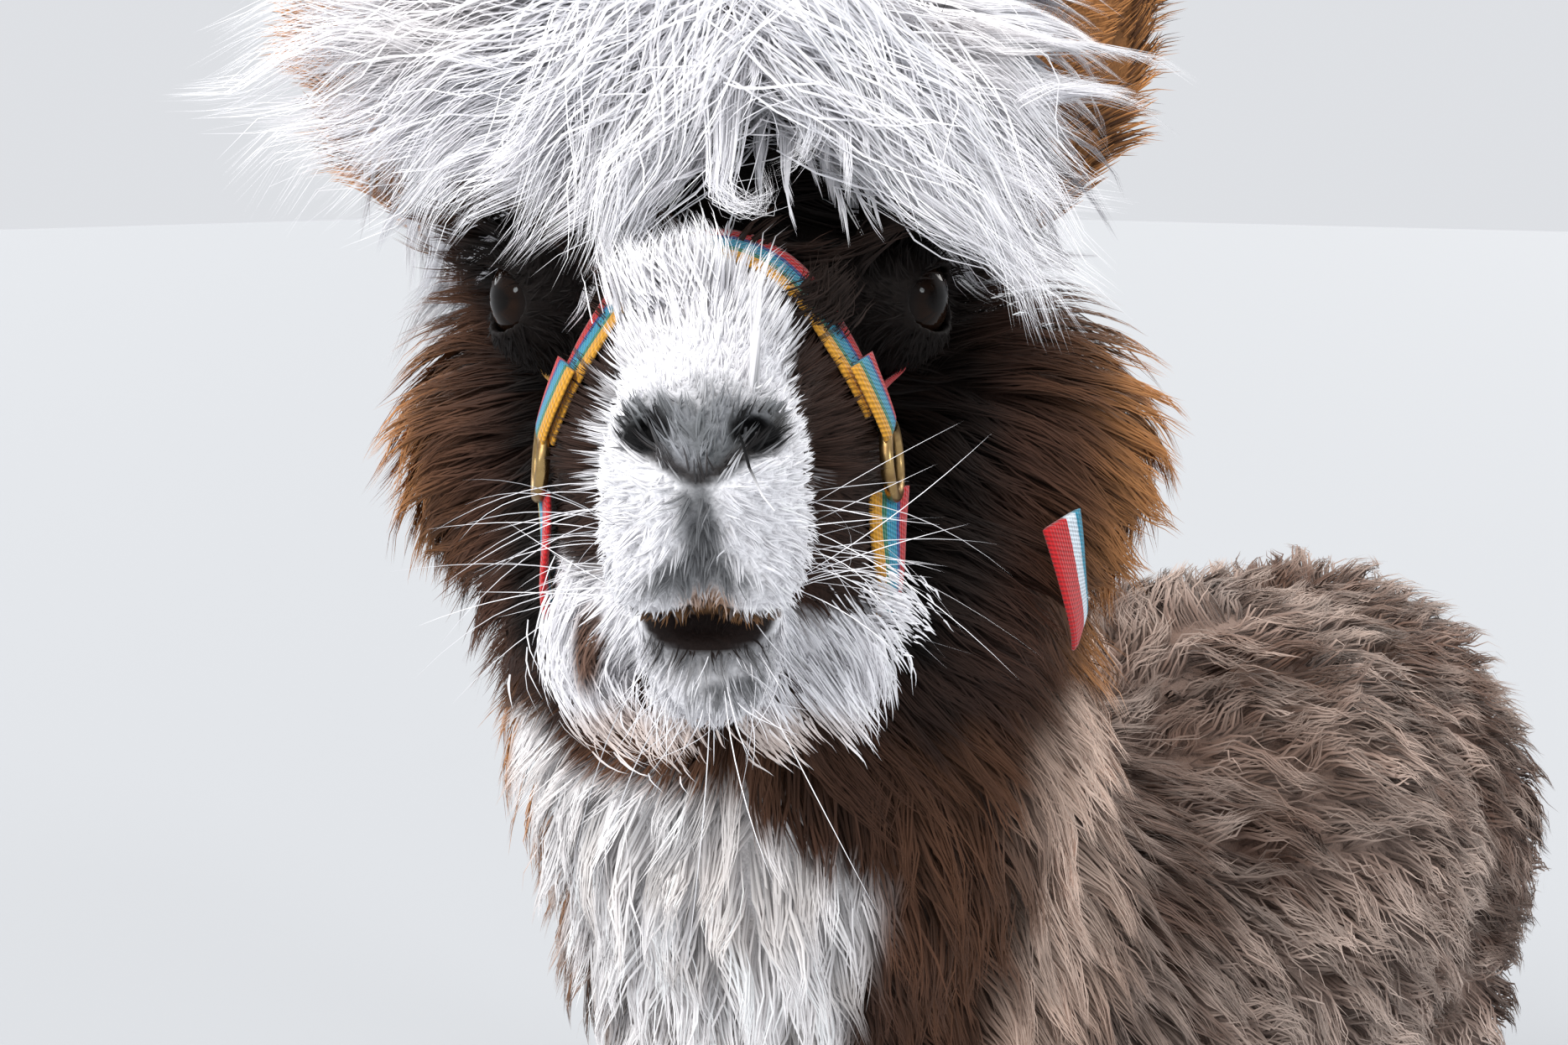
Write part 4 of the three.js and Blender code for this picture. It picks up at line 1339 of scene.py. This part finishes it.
cheek_zone = tri_zone == "cheek"
cheek_map = unwrap_round(to_head, [0, -100, -50], [0, 100, -50], [0, 0, 1])
on_left = tri_h[:, 0] > 0
for name, here, seed in (("cheek_wool_left", on_left, 13), ("cheek_wool_right", ~on_left, 14)):
    grow(
        name, cheek_zone & here, 13800, lie_head, cheek_map, wool_length(1.9, 8, 62), width=1.0, lock=18,
        lift=7, seed=seed, steps=5, layers=(0.35, 1.0), clump=0.72, turns=0.9, stray=0.05, short=0.6)


def face_length(p, depth):
    """Short on the nose and cheeks, shaggy on the chin and the jaw."""
    x, y, z = to_head(p).T
    shag = smoothstep(-68, -84, z) * smoothstep(-100, -84, y)
    at_mouth = spot(to_head(p), [1, -98, -69], [27, 22, 10])
    shag = 5 * shag + 3 * shag * smoothstep(24, 38, np.abs(x))
    return (5 + 0.5 * depth + shag) * (1 - 0.5 * at_mouth)


face_map = unwrap_round(to_head, [0, -120, -40], [0, 100, -40], [0, 0, 1])
grow(
    "face_hair", tri_zone == "face", 20000, lie_head, face_map, face_length, width=0.55, lock=5, lift=1.2,
    seed=15, form=lidded_form, layers=(0.6, 1.0), clump=0.5, wave=0.3, turns=0.5, stray=0.08, short=0.6,
    rooted=True, climb=1.3, cling=0.7)

neck_map = unwrap_round(to_body, [0, -255, 650], [90, -520, 980], [0, -1, 0])
grow(
    "neck_wool", tri_zone == "neck", 26000, lie_neck, neck_map, wool_length(1.1, 18, 56), width=1.25,
    lock=26, lift=6, seed=16, clump=0.78, wave=2.6, turns=0.9, tone=0.14, root_shade=0.66, stray=0.03)

trunk_map = unwrap_round(to_body, [0, -400, SPINE], [0, 400, SPINE], [0, 0, 1])
for name, side, seed in (("trunk_wool_left", 1, 17), ("trunk_wool_right", -1, 18)):
    here = (tri_zone == "trunk") & (np.sign(to_body(tri_middle)[:, 0]) == side)
    grow(
        name, here, 18000, lie_trunk, trunk_map, wool_length(0.9, 14, 42), width=2.0, lock=24, lift=7,
        seed=seed, layers=(0.45, 1.0), clump=0.72, wave=3.2, turns=1.3, stray=0.12, short=0.5, tone=0.22,
        root_shade=0.6)

# denser round the feet
leg_zone = (tri_zone == "leg") * (1 + 2.2 * (tri_middle[:, 2] < 95))
grow(
    "leg_wool", leg_zone, 16000, lie_leg, unwrap_legs, wool_length(1.3, 12, 48), width=1.9, lock=12,
    lift=4, seed=19, clump=0.75, wave=1.6, turns=1.0)

tail_map = unwrap_round(to_body, [0, 430, 760], [0, 440, 500], [0, 1, 0])
grow(
    "tail_wool", tri_zone == "tail", 3000, lie_tail, tail_map, wool_length(1.6, 24, 66), width=1.9,
    lock=14, lift=5, seed=20, steps=5, clump=0.75, wave=2.5)


def ear_fur():
    """Soft hair on both faces of each ear, longer and darker at its edges."""
    rng = np.random.default_rng(33)
    tri_ear = skin_points[skin_faces[skin_faces.max(axis=1) >= shell_starts[2]]]
    normal = np.cross(tri_ear[:, 1] - tri_ear[:, 0], tri_ear[:, 2] - tri_ear[:, 0])
    area = np.linalg.norm(normal, axis=1)
    count = int(8500 * QUICK)
    pick = rng.choice(len(tri_ear), count, p=area / area.sum())
    mix = rng.dirichlet([1, 1, 1], count)
    roots = (tri_ear[pick] * mix[..., None]).sum(1)
    out = unit(normal[pick])
    h = to_head(roots)
    side = np.sign(h[:, 0])
    level = np.clip((h[:, 2] - 8) / 160, 0, 1)
    edge = np.abs(out @ HEAD_AXES[0])
    heading = turned(np.stack([side * (0.5 + 0.8 * (edge > 0.6)), 0 * level, 0.9 - 0.9 * level * 0.2], 1))
    heading = unit(heading + 0.45 * sway(roots, 13, 96) + 0.25 * out)
    length = rng.uniform(12, 24, count) * (1 - 0.35 * level) * (1 + 0.5 * (edge > 0.6))
    t = np.linspace(0, 1, 5)
    path = roots[:, None] + heading[:, None] * (length[:, None] * t)[..., None]
    path = path + out[:, None] * (5.5 * np.sin(np.pi * t * 0.75))[None, :, None]
    path[..., 2] -= length[:, None] * t**2 * 0.3
    streaks = noise(roots * [1, 1, 0.4], 9, 97) + rng.normal(0, 0.35, count)
    colour = paint(filled(GINGER * 1.1, roots), CHESTNUT * 0.7, smoothstep(-0.35, 0.5, streaks))
    colour = paint(colour, SOOT, 0.85 * smoothstep(0.7, 0.95, edge) + 0.9 * smoothstep(0.72, 0.98, level))
    # painted shade: each hair is darker towards its root, where the fur shadows itself
    shade = colour[:, None] * (0.45 + 0.75 * t)[None, :, None] * rng.normal(1, 0.15, count)[:, None, None]
    beside = 0.25 + 0.5 * (side > 0) + 0.22 * np.clip((np.abs(h[:, 0]) - 110) / 55, -1, 1)
    uv = np.stack([beside, 0.05 + 0.9 * level], 1)
    thick = rng.uniform(0.6, 1.1, count)
    ribbon_mesh("ear_fur", path, out, thick, shade, uv, rng.uniform(-0.5, 0.5, count))


ear_fur()


def bridge_length(p, depth):
    """Long enough to hide the strap beside the blaze, short where the strap shows."""
    x, _, z = to_head(p).T
    left = smoothstep(-34, -27, x) * smoothstep(-1, -7, x) * smoothstep(-16, -6, z)
    right = smoothstep(17, 22, x) * smoothstep(35, 29, x) * smoothstep(-16, -8, z)
    return 11 + 15 * left + 12 * right


bridge_zone = (tri_zone == "face") & (tri_h[:, 1] > -58) & (tri_h[:, 1] < -33) & (tri_h[:, 2] > -44)
grow(
    "bridge_hair", bridge_zone, 4600, lie_head, face_map, bridge_length, width=0.55, lock=4, lift=7,
    seed=34, layers=(1.0, 1.0), clump=0.3, wave=0.4, turns=0.5, stray=0.1, short=0.6, lifting=0.8,
    rooted=True)


def over_band(spots, each, reach, colour, name, seed):
    """Hair rooted just ahead of the noseband that lies back over it."""
    routes = []
    for x, y in spots:
        root = settle(face_form, np.array([[x, y, 5.0]]), -1.0)[0]
        back = unit(root - NOSE_TIP) * reach
        route = [root]
        for share, height in ((0.35, 5.58), (0.7, 6.6), (1, 6.6)):
            route.append(settle(face_form, (root + back * share)[None], height)[0])
        routes.append(route)
    comb(name, routes, each, 7, 0.55, colour, seed, 5, gather=0.15, wave=0.4, root_shade=0.85)


def plain_colour(colour):
    """One colour with a little unevenness."""
    return lambda p, tip: filled(colour, p) * (1 + 0.25 * noise(p, 6, 55))[:, None]


blaze = [[x, -47 + 0.012 * x * x] for x in range(-25, 0, 3)]
bridge = [[x, -44 + 0.008 * x * x] for x in (29, 32, 35, 38)]
over_band(blaze, 100, 33, plain_colour(WHITE), "blaze_tufts", 41)
over_band(bridge, 110, 19, plain_colour(SOOT * 0.7), "bridge_tufts", 42)

# where the hair of the jaw hangs out below the halter, from its roots to its tips
JAW_TUFTS = [
    [[-34, -42, -74], [-41, -46, -86], [-43, -47, -99], [-38, -49, -111]],
    [[-30, -48, -84], [-37, -52, -98], [-33, -54, -111], [-26, -55, -117]],
    [[-28, -36, -92], [-33, -46, -106], [-25, -53, -116], [-16, -56, -118]],
    [[44, -43, -80], [49, -41, -82], [53, -38, -85], [58, -35, -90]],
    [[34, -46, -86], [41, -45, -92], [46, -44, -99], [47, -43, -106]],
    [[30, -46, -84], [39, -50, -94], [43, -51, -105], [42, -52, -113]],
    [[24, -48, -94], [34, -53, -106], [40, -54, -114], [42, -54, -119]],
    [[10, -54, -100], [16, -60, -110], [21, -60, -116], [24, -59, -120]],
    [[-10, -56, -100], [-12, -62, -110], [-10, -62, -116], [-6, -60, -120]],
]


def jaw_colour(p, tip):
    """White, with a blush below and a brown place at the right corner."""
    h = to_head(p)
    blush = spot(h, [-4, -58, -116], [42, 26, 9], 0.4)
    colour = paint(filled(WHITE, h), BLUSH, 0.6 * blush)
    return paint(colour, CHESTNUT, 0.95 * spot(h, [-35, -50, -91], [4, 34, 12], 0.35))


comb("jaw_tufts", JAW_TUFTS, 360, 9, 0.7, jaw_colour, 35, 4, gather=0.1, wave=0.0, part=0.4,
     root_shade=0.85, rough=0.3)


# ---------- eyes ----------
IRIS_BROWN, IRIS_RAYS = np.array([0.005, 0.0025, 0.0015]), np.array([0.014, 0.006, 0.003])
EYE_RIM = np.array([0.020, 0.012, 0.010])


def dome(centre, radius, facing, rows=47, columns=64, bulge=0.0):
    """A ball whose pole faces a way, with a little bulge at that pole."""
    facing = unit(np.array(facing, float))
    side = unit(np.cross([0, 0, 1], facing))
    up = np.cross(facing, side)
    polar = np.linspace(0, np.pi, rows + 2)[1:-1]
    turn = np.linspace(0, 2 * np.pi, columns, endpoint=False)
    a, b = np.meshgrid(polar, turn, indexing="ij")
    shape = np.stack([np.cos(a), np.sin(a) * np.cos(b), np.sin(a) * np.sin(b)], -1).reshape(-1, 3)
    shape = np.concatenate([shape, [[1, 0, 0], [-1, 0, 0]]])
    swell = 1 + bulge * np.exp(-((np.arccos(np.clip(shape[:, 0], -1, 1)) / 0.6) ** 2))
    points = centre + radius * swell[:, None] * (shape @ np.array([facing, side, up]))
    return points, capped_tube(rows, columns), shape


EYE_FINISH = painted_finish("eye", 0.05, 0.1)
for side_name, side in SIDES.items():
    mirror = np.array([side, 1, 1])
    points, faces, shape = dome(EYE * mirror, EYE_RADIUS - 0.9, EYE_FACING * mirror, bulge=0.045)
    ahead, across, up = shape.T
    angle = np.arccos(np.clip(ahead, -1, 1))
    pupil = 1 - smoothstep(0.9, 1.1, np.hypot(across / 0.50, up / 0.24))
    rays = noise(np.stack([np.arctan2(up, across) * 9, angle, 0 * angle], 1), 1, 95)
    iris = paint(filled(IRIS_BROWN, shape), IRIS_RAYS, 0.5 + 0.5 * rays)
    iris = paint(iris, BLACK, smoothstep(0.62, 0.78, angle))
    iris = paint(iris, BLACK * 0.4, pupil * (ahead > 0))
    iris = paint(iris, EYE_RIM, smoothstep(1.0, 1.2, angle))
    made = make_mesh(f"eyeball_{side_name}", from_head(points), faces)
    set_colours(made, iris)
    dress(made, EYE_FINISH, [f"eye_{side_name}"])


# ---------- halter ----------
RING = np.array([53, -27, -43])
RING_RADIUS, RING_WIRE = 10.5, 2
RING_STEPS, WIRE_STEPS = 64, 18


STRAP_STEP = 1.6
STRAP_COLUMNS = 9


def strap(name, near, nodes, form=face_form, material=WEBBING, height=1.2, turn=0.0, width=WEBBING_WIDTH):
    """Flat webbing laid on a form along a route near it, turned about its length where that is asked."""
    route = settle(form, smooth_route(settle(form, np.array(near, float), height), 90), height)
    count = int(np.linalg.norm(np.diff(route, axis=0), axis=1).sum() / STRAP_STEP)
    line = settle(form, smooth_route(route[::6], max(count, 8)), height)
    run = unit(np.gradient(line, axis=0))
    out = slope(form, line)
    across = unit(np.cross(run, out))
    v = np.linspace(-1, 1, STRAP_COLUMNS)
    edge = width / 2
    low = (line[:, None] + across[:, None] * (v * edge)[:, None]).reshape(-1, 3)
    low = settle(form, low, height, rounds=2).reshape(len(line), len(v), 3)
    if turn:
        c, s = math.cos(turn), math.sin(turn)
        across, out = across * c + out * s, out * c - across * s
        low = line[:, None] + across[:, None] * (v * edge)[:, None]
    rim = 1 - 0.35 * np.abs(v) ** 8
    top = low + out[:, None] * (WEBBING_THICKNESS * rim)[:, None]
    under = low + out[:, None] * (WEBBING_THICKNESS * 0.35 * np.abs(v) ** 8)[:, None]
    ring = np.concatenate([top, under[:, ::-1]], 1)
    n = ring.shape[1]
    m = np.arange(len(v) - 1)
    end = np.stack([m, n - 1 - m, n - 2 - m, m + 1], 1)
    far_end = (len(line) - 1) * n + end[:, ::-1]
    faces = np.concatenate([tube(len(line), n)[:, [0, 3, 2, 1]], end, far_end])
    made = make_mesh(name, from_head(ring.reshape(-1, 3)), faces)
    far = np.concatenate([[0], np.cumsum(np.linalg.norm(np.diff(line, axis=0), axis=1))])
    w = np.tile(np.concatenate([v, v[::-1]]), len(line)) * edge + edge
    for layer, along in (("weave", far), ("stitching", np.minimum(far, far[-1] - far))):
        add_map(made, layer, np.stack([np.repeat(along, n), w], 1), faces)
    dress(made, material, nodes)


def beside_ring(side, up, back):
    """A point so far above and behind the middle of a ring."""
    return [side * RING[0], RING[1] + back, RING[2] + up]


over_nose = [
    beside_ring(-1, 9, -2), [-38, -31, -10], [-20, -27, 14], [0, -24, 20],
    [20, -27, 14], [38, -31, -10], beside_ring(1, 9, -2),
]
strap("noseband", over_nose, ["halter_noseband"])
for side_name, side in SIDES.items():
    jaw = [beside_ring(side, -9, 0), [side * 50, -27, -72], [side * 47, -28, -90]]
    cheek = [beside_ring(side, 2, 10), [side * 56, 8, -34], [side * 58, 26, -28]]
    fold = [beside_ring(side, 9, -2), [side * 45, -31, -22], [side * 41, -31, -14]][::-side]
    strap(f"noseband_fold_{side_name}", fold, (), height=3.9, width=18.4)
    strap(f"jaw_strap_{side_name}", jaw, [f"halter_jaw_strap_{side_name}"], turn=-0.3 * side - 0.2)
    strap(f"cheek_strap_{side_name}", cheek, [f"halter_cheek_strap_{side_name}"])
    spot_on = settle(face_form, np.array([beside_ring(side, 0, 0)], float), 3.4)
    facing = slope(face_form, spot_on)[0]
    a = unit(np.cross(facing, [0, 0, 1.0]))
    b = np.cross(facing, a)
    turn = np.linspace(0, 2 * np.pi, RING_STEPS, endpoint=False)
    small = np.linspace(0, 2 * np.pi, WIRE_STEPS, endpoint=False)
    way = np.cos(turn)[:, None] * a + np.sin(turn)[:, None] * b
    ring = (spot_on[0] + way[:, None] * (RING_RADIUS + RING_WIRE * np.cos(small))[:, None]
            + facing * (RING_WIRE * np.sin(small))[None, :, None])
    quads = tube(RING_STEPS, WIRE_STEPS, closed=True)
    made = make_mesh(f"halter_ring_smooth_{side_name}", from_head(ring.reshape(-1, 3)), quads)
    dress(made, BRASS, [f"halter_ring_{side_name}"])
loose_route = [[106, 14, -70], [113, 14, -92], [124, 18, -116]]
strap("loose_end", loose_route, ["halter_loose_end"], head_form(0), LOOSE_WEBBING, height=1.0, turn=0.42)

# ---------- toenails ----------
NAIL_RADII = [8.0, 14.5, 8.6]
NAIL_NARROWS, NAIL_THINS, NAIL_CURVES = 0.022, 0.03, 0.036  # for each millimetre ahead of its middle
NAIL_CLEARANCE = 0.6  # above the ground
LEGS, TOES = ("fore", "hind"), ("inner", "outer")
nail, nail_faces, _ = dome(np.zeros(3), 1, [0, -1, 0], rows=19, columns=28)
nail = nail * NAIL_RADII
ahead = np.maximum(-nail[:, 1], 0)
nail[:, 2] = nail[:, 2] * (1 - NAIL_THINS * ahead) - NAIL_CURVES * ahead**2
nail[:, 0] *= 1 - NAIL_NARROWS * ahead
for toe in (f"{leg}_{side}_{place}" for leg in LEGS for side in SIDES for place in TOES):
    low, high = (np.array(c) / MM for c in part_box(f"nail_{toe}"))
    points = nail + (low + high) / 2 + [0, 0.5, -0.5]
    points[:, 2] = np.maximum(points[:, 2], NAIL_CLEARANCE)
    dress(make_mesh(f"toenail_{toe}", points, nail_faces), NAIL, [f"nail_{toe}"])

# ---------- whiskers and lashes ----------
WHISKERS, BRISTLES, LASHES = 64, 90, 34
HAIR_STEPS = 8


def hairs(name, roots, heading, length, droop, width, colour, seed):
    """Single stiff hairs that leave their roots along a heading and bend and droop a little."""
    rng = np.random.default_rng(seed)
    n = len(roots)
    t = np.linspace(0, 1, HAIR_STEPS + 1)
    side = unit(np.cross(heading, [0, 0, 1.0]))
    curl = rng.normal(0, 0.4, n)[:, None, None]
    way = unit(heading)[:, None] * t[None, :, None] + side[:, None] * curl * t[None, :, None] ** 2
    way = way + np.array([0, 0, -1]) * (droop[:, None] * t[None] ** 2)[..., None]
    path = from_head((roots[:, None] + way * length[:, None, None]).reshape(-1, 3)).reshape(n, -1, 3)
    up = unit(rng.normal(0, 1, (n, 3)) + [0, -1.5, 0.5]) @ HEAD_AXES
    shade = np.tile(np.array(colour), (n, HAIR_STEPS + 1, 1)) * rng.uniform(0.75, 1.1, n)[:, None, None]
    uv = rng.uniform(0.02, 0.98, (n, 2))
    ribbon_mesh(name, path, up, np.full(n, width), shade, uv, rng.uniform(-0.5, 0.5, n), tip_power=3.0)


def drawn(rng, count, *spans):
    """Random values, one column for each span from low to high."""
    return np.stack([rng.uniform(*span, count) for span in spans], 1)


rng = np.random.default_rng(21)
side = np.where(rng.random(WHISKERS) < 0.5, -1, 1)
bed = drawn(rng, WHISKERS, (14, 32), (-104, -70), (-66, -40))
bed[:, 0] *= side
heading = np.stack([side, rng.normal(-0.25, 0.3, WHISKERS), rng.normal(0.0, 0.35, WHISKERS)], 1)
length = rng.uniform(16, 58, WHISKERS)
droop = rng.uniform(-0.1, 0.6, WHISKERS)
hairs("whiskers", settle(face_form, bed, -1.5), heading, length, droop, 0.24, WHITE, 22)

rng = np.random.default_rng(7)
bed = drawn(rng, BRISTLES, (-26, 26), (-98, -70), (-104, -80))
forward, down = rng.normal(-0.7, 0.2, BRISTLES), rng.normal(-0.5, 0.3, BRISTLES)
heading = np.stack([bed[:, 0] * 0.03, forward, down], 1)
length = np.where(rng.random(BRISTLES) < 0.14, 42, 1) + rng.uniform(4, 16, BRISTLES)
droop = rng.uniform(0, 0.5, BRISTLES)
hairs("chin_bristles", settle(face_form, bed, -1.5), heading, length, droop, 0.3, WHITE, 23)

# lashes along the upper lid, from its inner corner to its outer one
across = np.linspace(-1, 1, LASHES)
lid = EYE_LONG * (across * 13.5)[:, None] + np.array([0, 0, 1.0]) * (9.5 - 4 * across**2)[:, None]
bed = EYE + unit(lid + EYE_FACING * 13.5) * (EYE_RADIUS + 1.2)
heading = unit(bed - EYE + EYE_FACING * 0.6 + [0, 0, -0.1])
for side_name, side in SIDES.items():
    mirror = np.array([side, 1, 1])
    length = rng.uniform(8, 14, LASHES)
    droop = rng.uniform(0.1, 0.5, LASHES)
    hairs(f"lashes_{side_name}", bed * mirror, heading * mirror, length, droop, 0.5, BLACK, 24 + side)

# ---------- floor, light and camera ----------
FLOOR_REACH = 30  # metres to each side
FLOOR_CORNERS = np.array([[-1, -1, 0], [1, -1, 0], [1, 1, 0], [-1, 1, 0]])
floor = make_mesh("floor", FLOOR_CORNERS * FLOOR_REACH / MM, [[0, 1, 2, 3]])
floor.data.materials.append(Finish("floor", Base_Color=(0.395, 0.405, 0.42, 1), Roughness=0.95).material)
world = bpy.data.worlds.new("studio")
world.use_nodes = True
sky = world.node_tree.nodes["Background"].inputs
sky["Color"].default_value = (0.94, 0.96, 1, 1)
sky["Strength"].default_value = 0.78
bpy.context.scene.world = world
bpy.context.scene.view_settings.view_transform = "Standard"


def soft_light(name, toward, strength, spread, colour):
    """Even soft light from one direction, given in the head's axes."""
    lamp = bpy.data.lights.new(name, "SUN")
    lamp.energy, lamp.angle, lamp.color = strength, math.radians(spread), colour
    made = bpy.data.objects.new(name, lamp)
    bpy.context.scene.collection.objects.link(made)
    way = Vector(turned(unit(np.array(toward, float))))
    made.location = Vector(EYES * MM) + way * 3
    made.rotation_euler = way.to_track_quat("Z", "Y").to_euler()


soft_light("key", [-0.55, -0.75, 1.0], 2.9, 35, (1, 0.98, 0.96))
soft_light("rim_left", [0.9, 1.0, 0.7], 1.6, 30, (1, 0.97, 0.93))
soft_light("rim_right", [-1.0, 0.9, 0.6], 1.0, 30, (0.94, 0.97, 1))
for side_name, side in SIDES.items():
    soft_light(f"glint_{side_name}", [side * 0.75, -0.5, 0.3], 0.5, 9, (0.9, 0.97, 1))

SENSOR = 36.0
WIDE_PX, HIGH_PX = 1869, 1246
FOCAL_PX = 1817
EYES_PX = (857, 358)  # where the point between the eyes lies in the frame, from its top left corner
PITCH = math.radians(13.1)  # how far the lens is tipped down
TO_EYES = 454
EYES_U, EYES_V = (EYES_PX[0] - WIDE_PX / 2) / FOCAL_PX, -(EYES_PX[1] - HIGH_PX / 2) / FOCAL_PX
forward = np.array([0, math.cos(PITCH), -math.sin(PITCH)])
rightward = np.array([1, 0, 0])
upward = np.cross(rightward, forward)
eye_point = -TO_EYES * (forward + EYES_U * rightward + EYES_V * upward)
lens = bpy.data.cameras.new("camera")
lens.sensor_width, lens.lens = SENSOR, FOCAL_PX / WIDE_PX * SENSOR
lens.clip_start, lens.clip_end = 0.02, 100
camera = bpy.data.objects.new("camera", lens)
bpy.context.scene.collection.objects.link(camera)
axes = np.array([rightward, upward, -forward]) @ HEAD_AXES
stand = Matrix.Translation(Vector(from_head(eye_point) * MM))
camera.matrix_world = stand @ Matrix(axes.T.tolist()).to_4x4()
bpy.context.scene.camera = camera
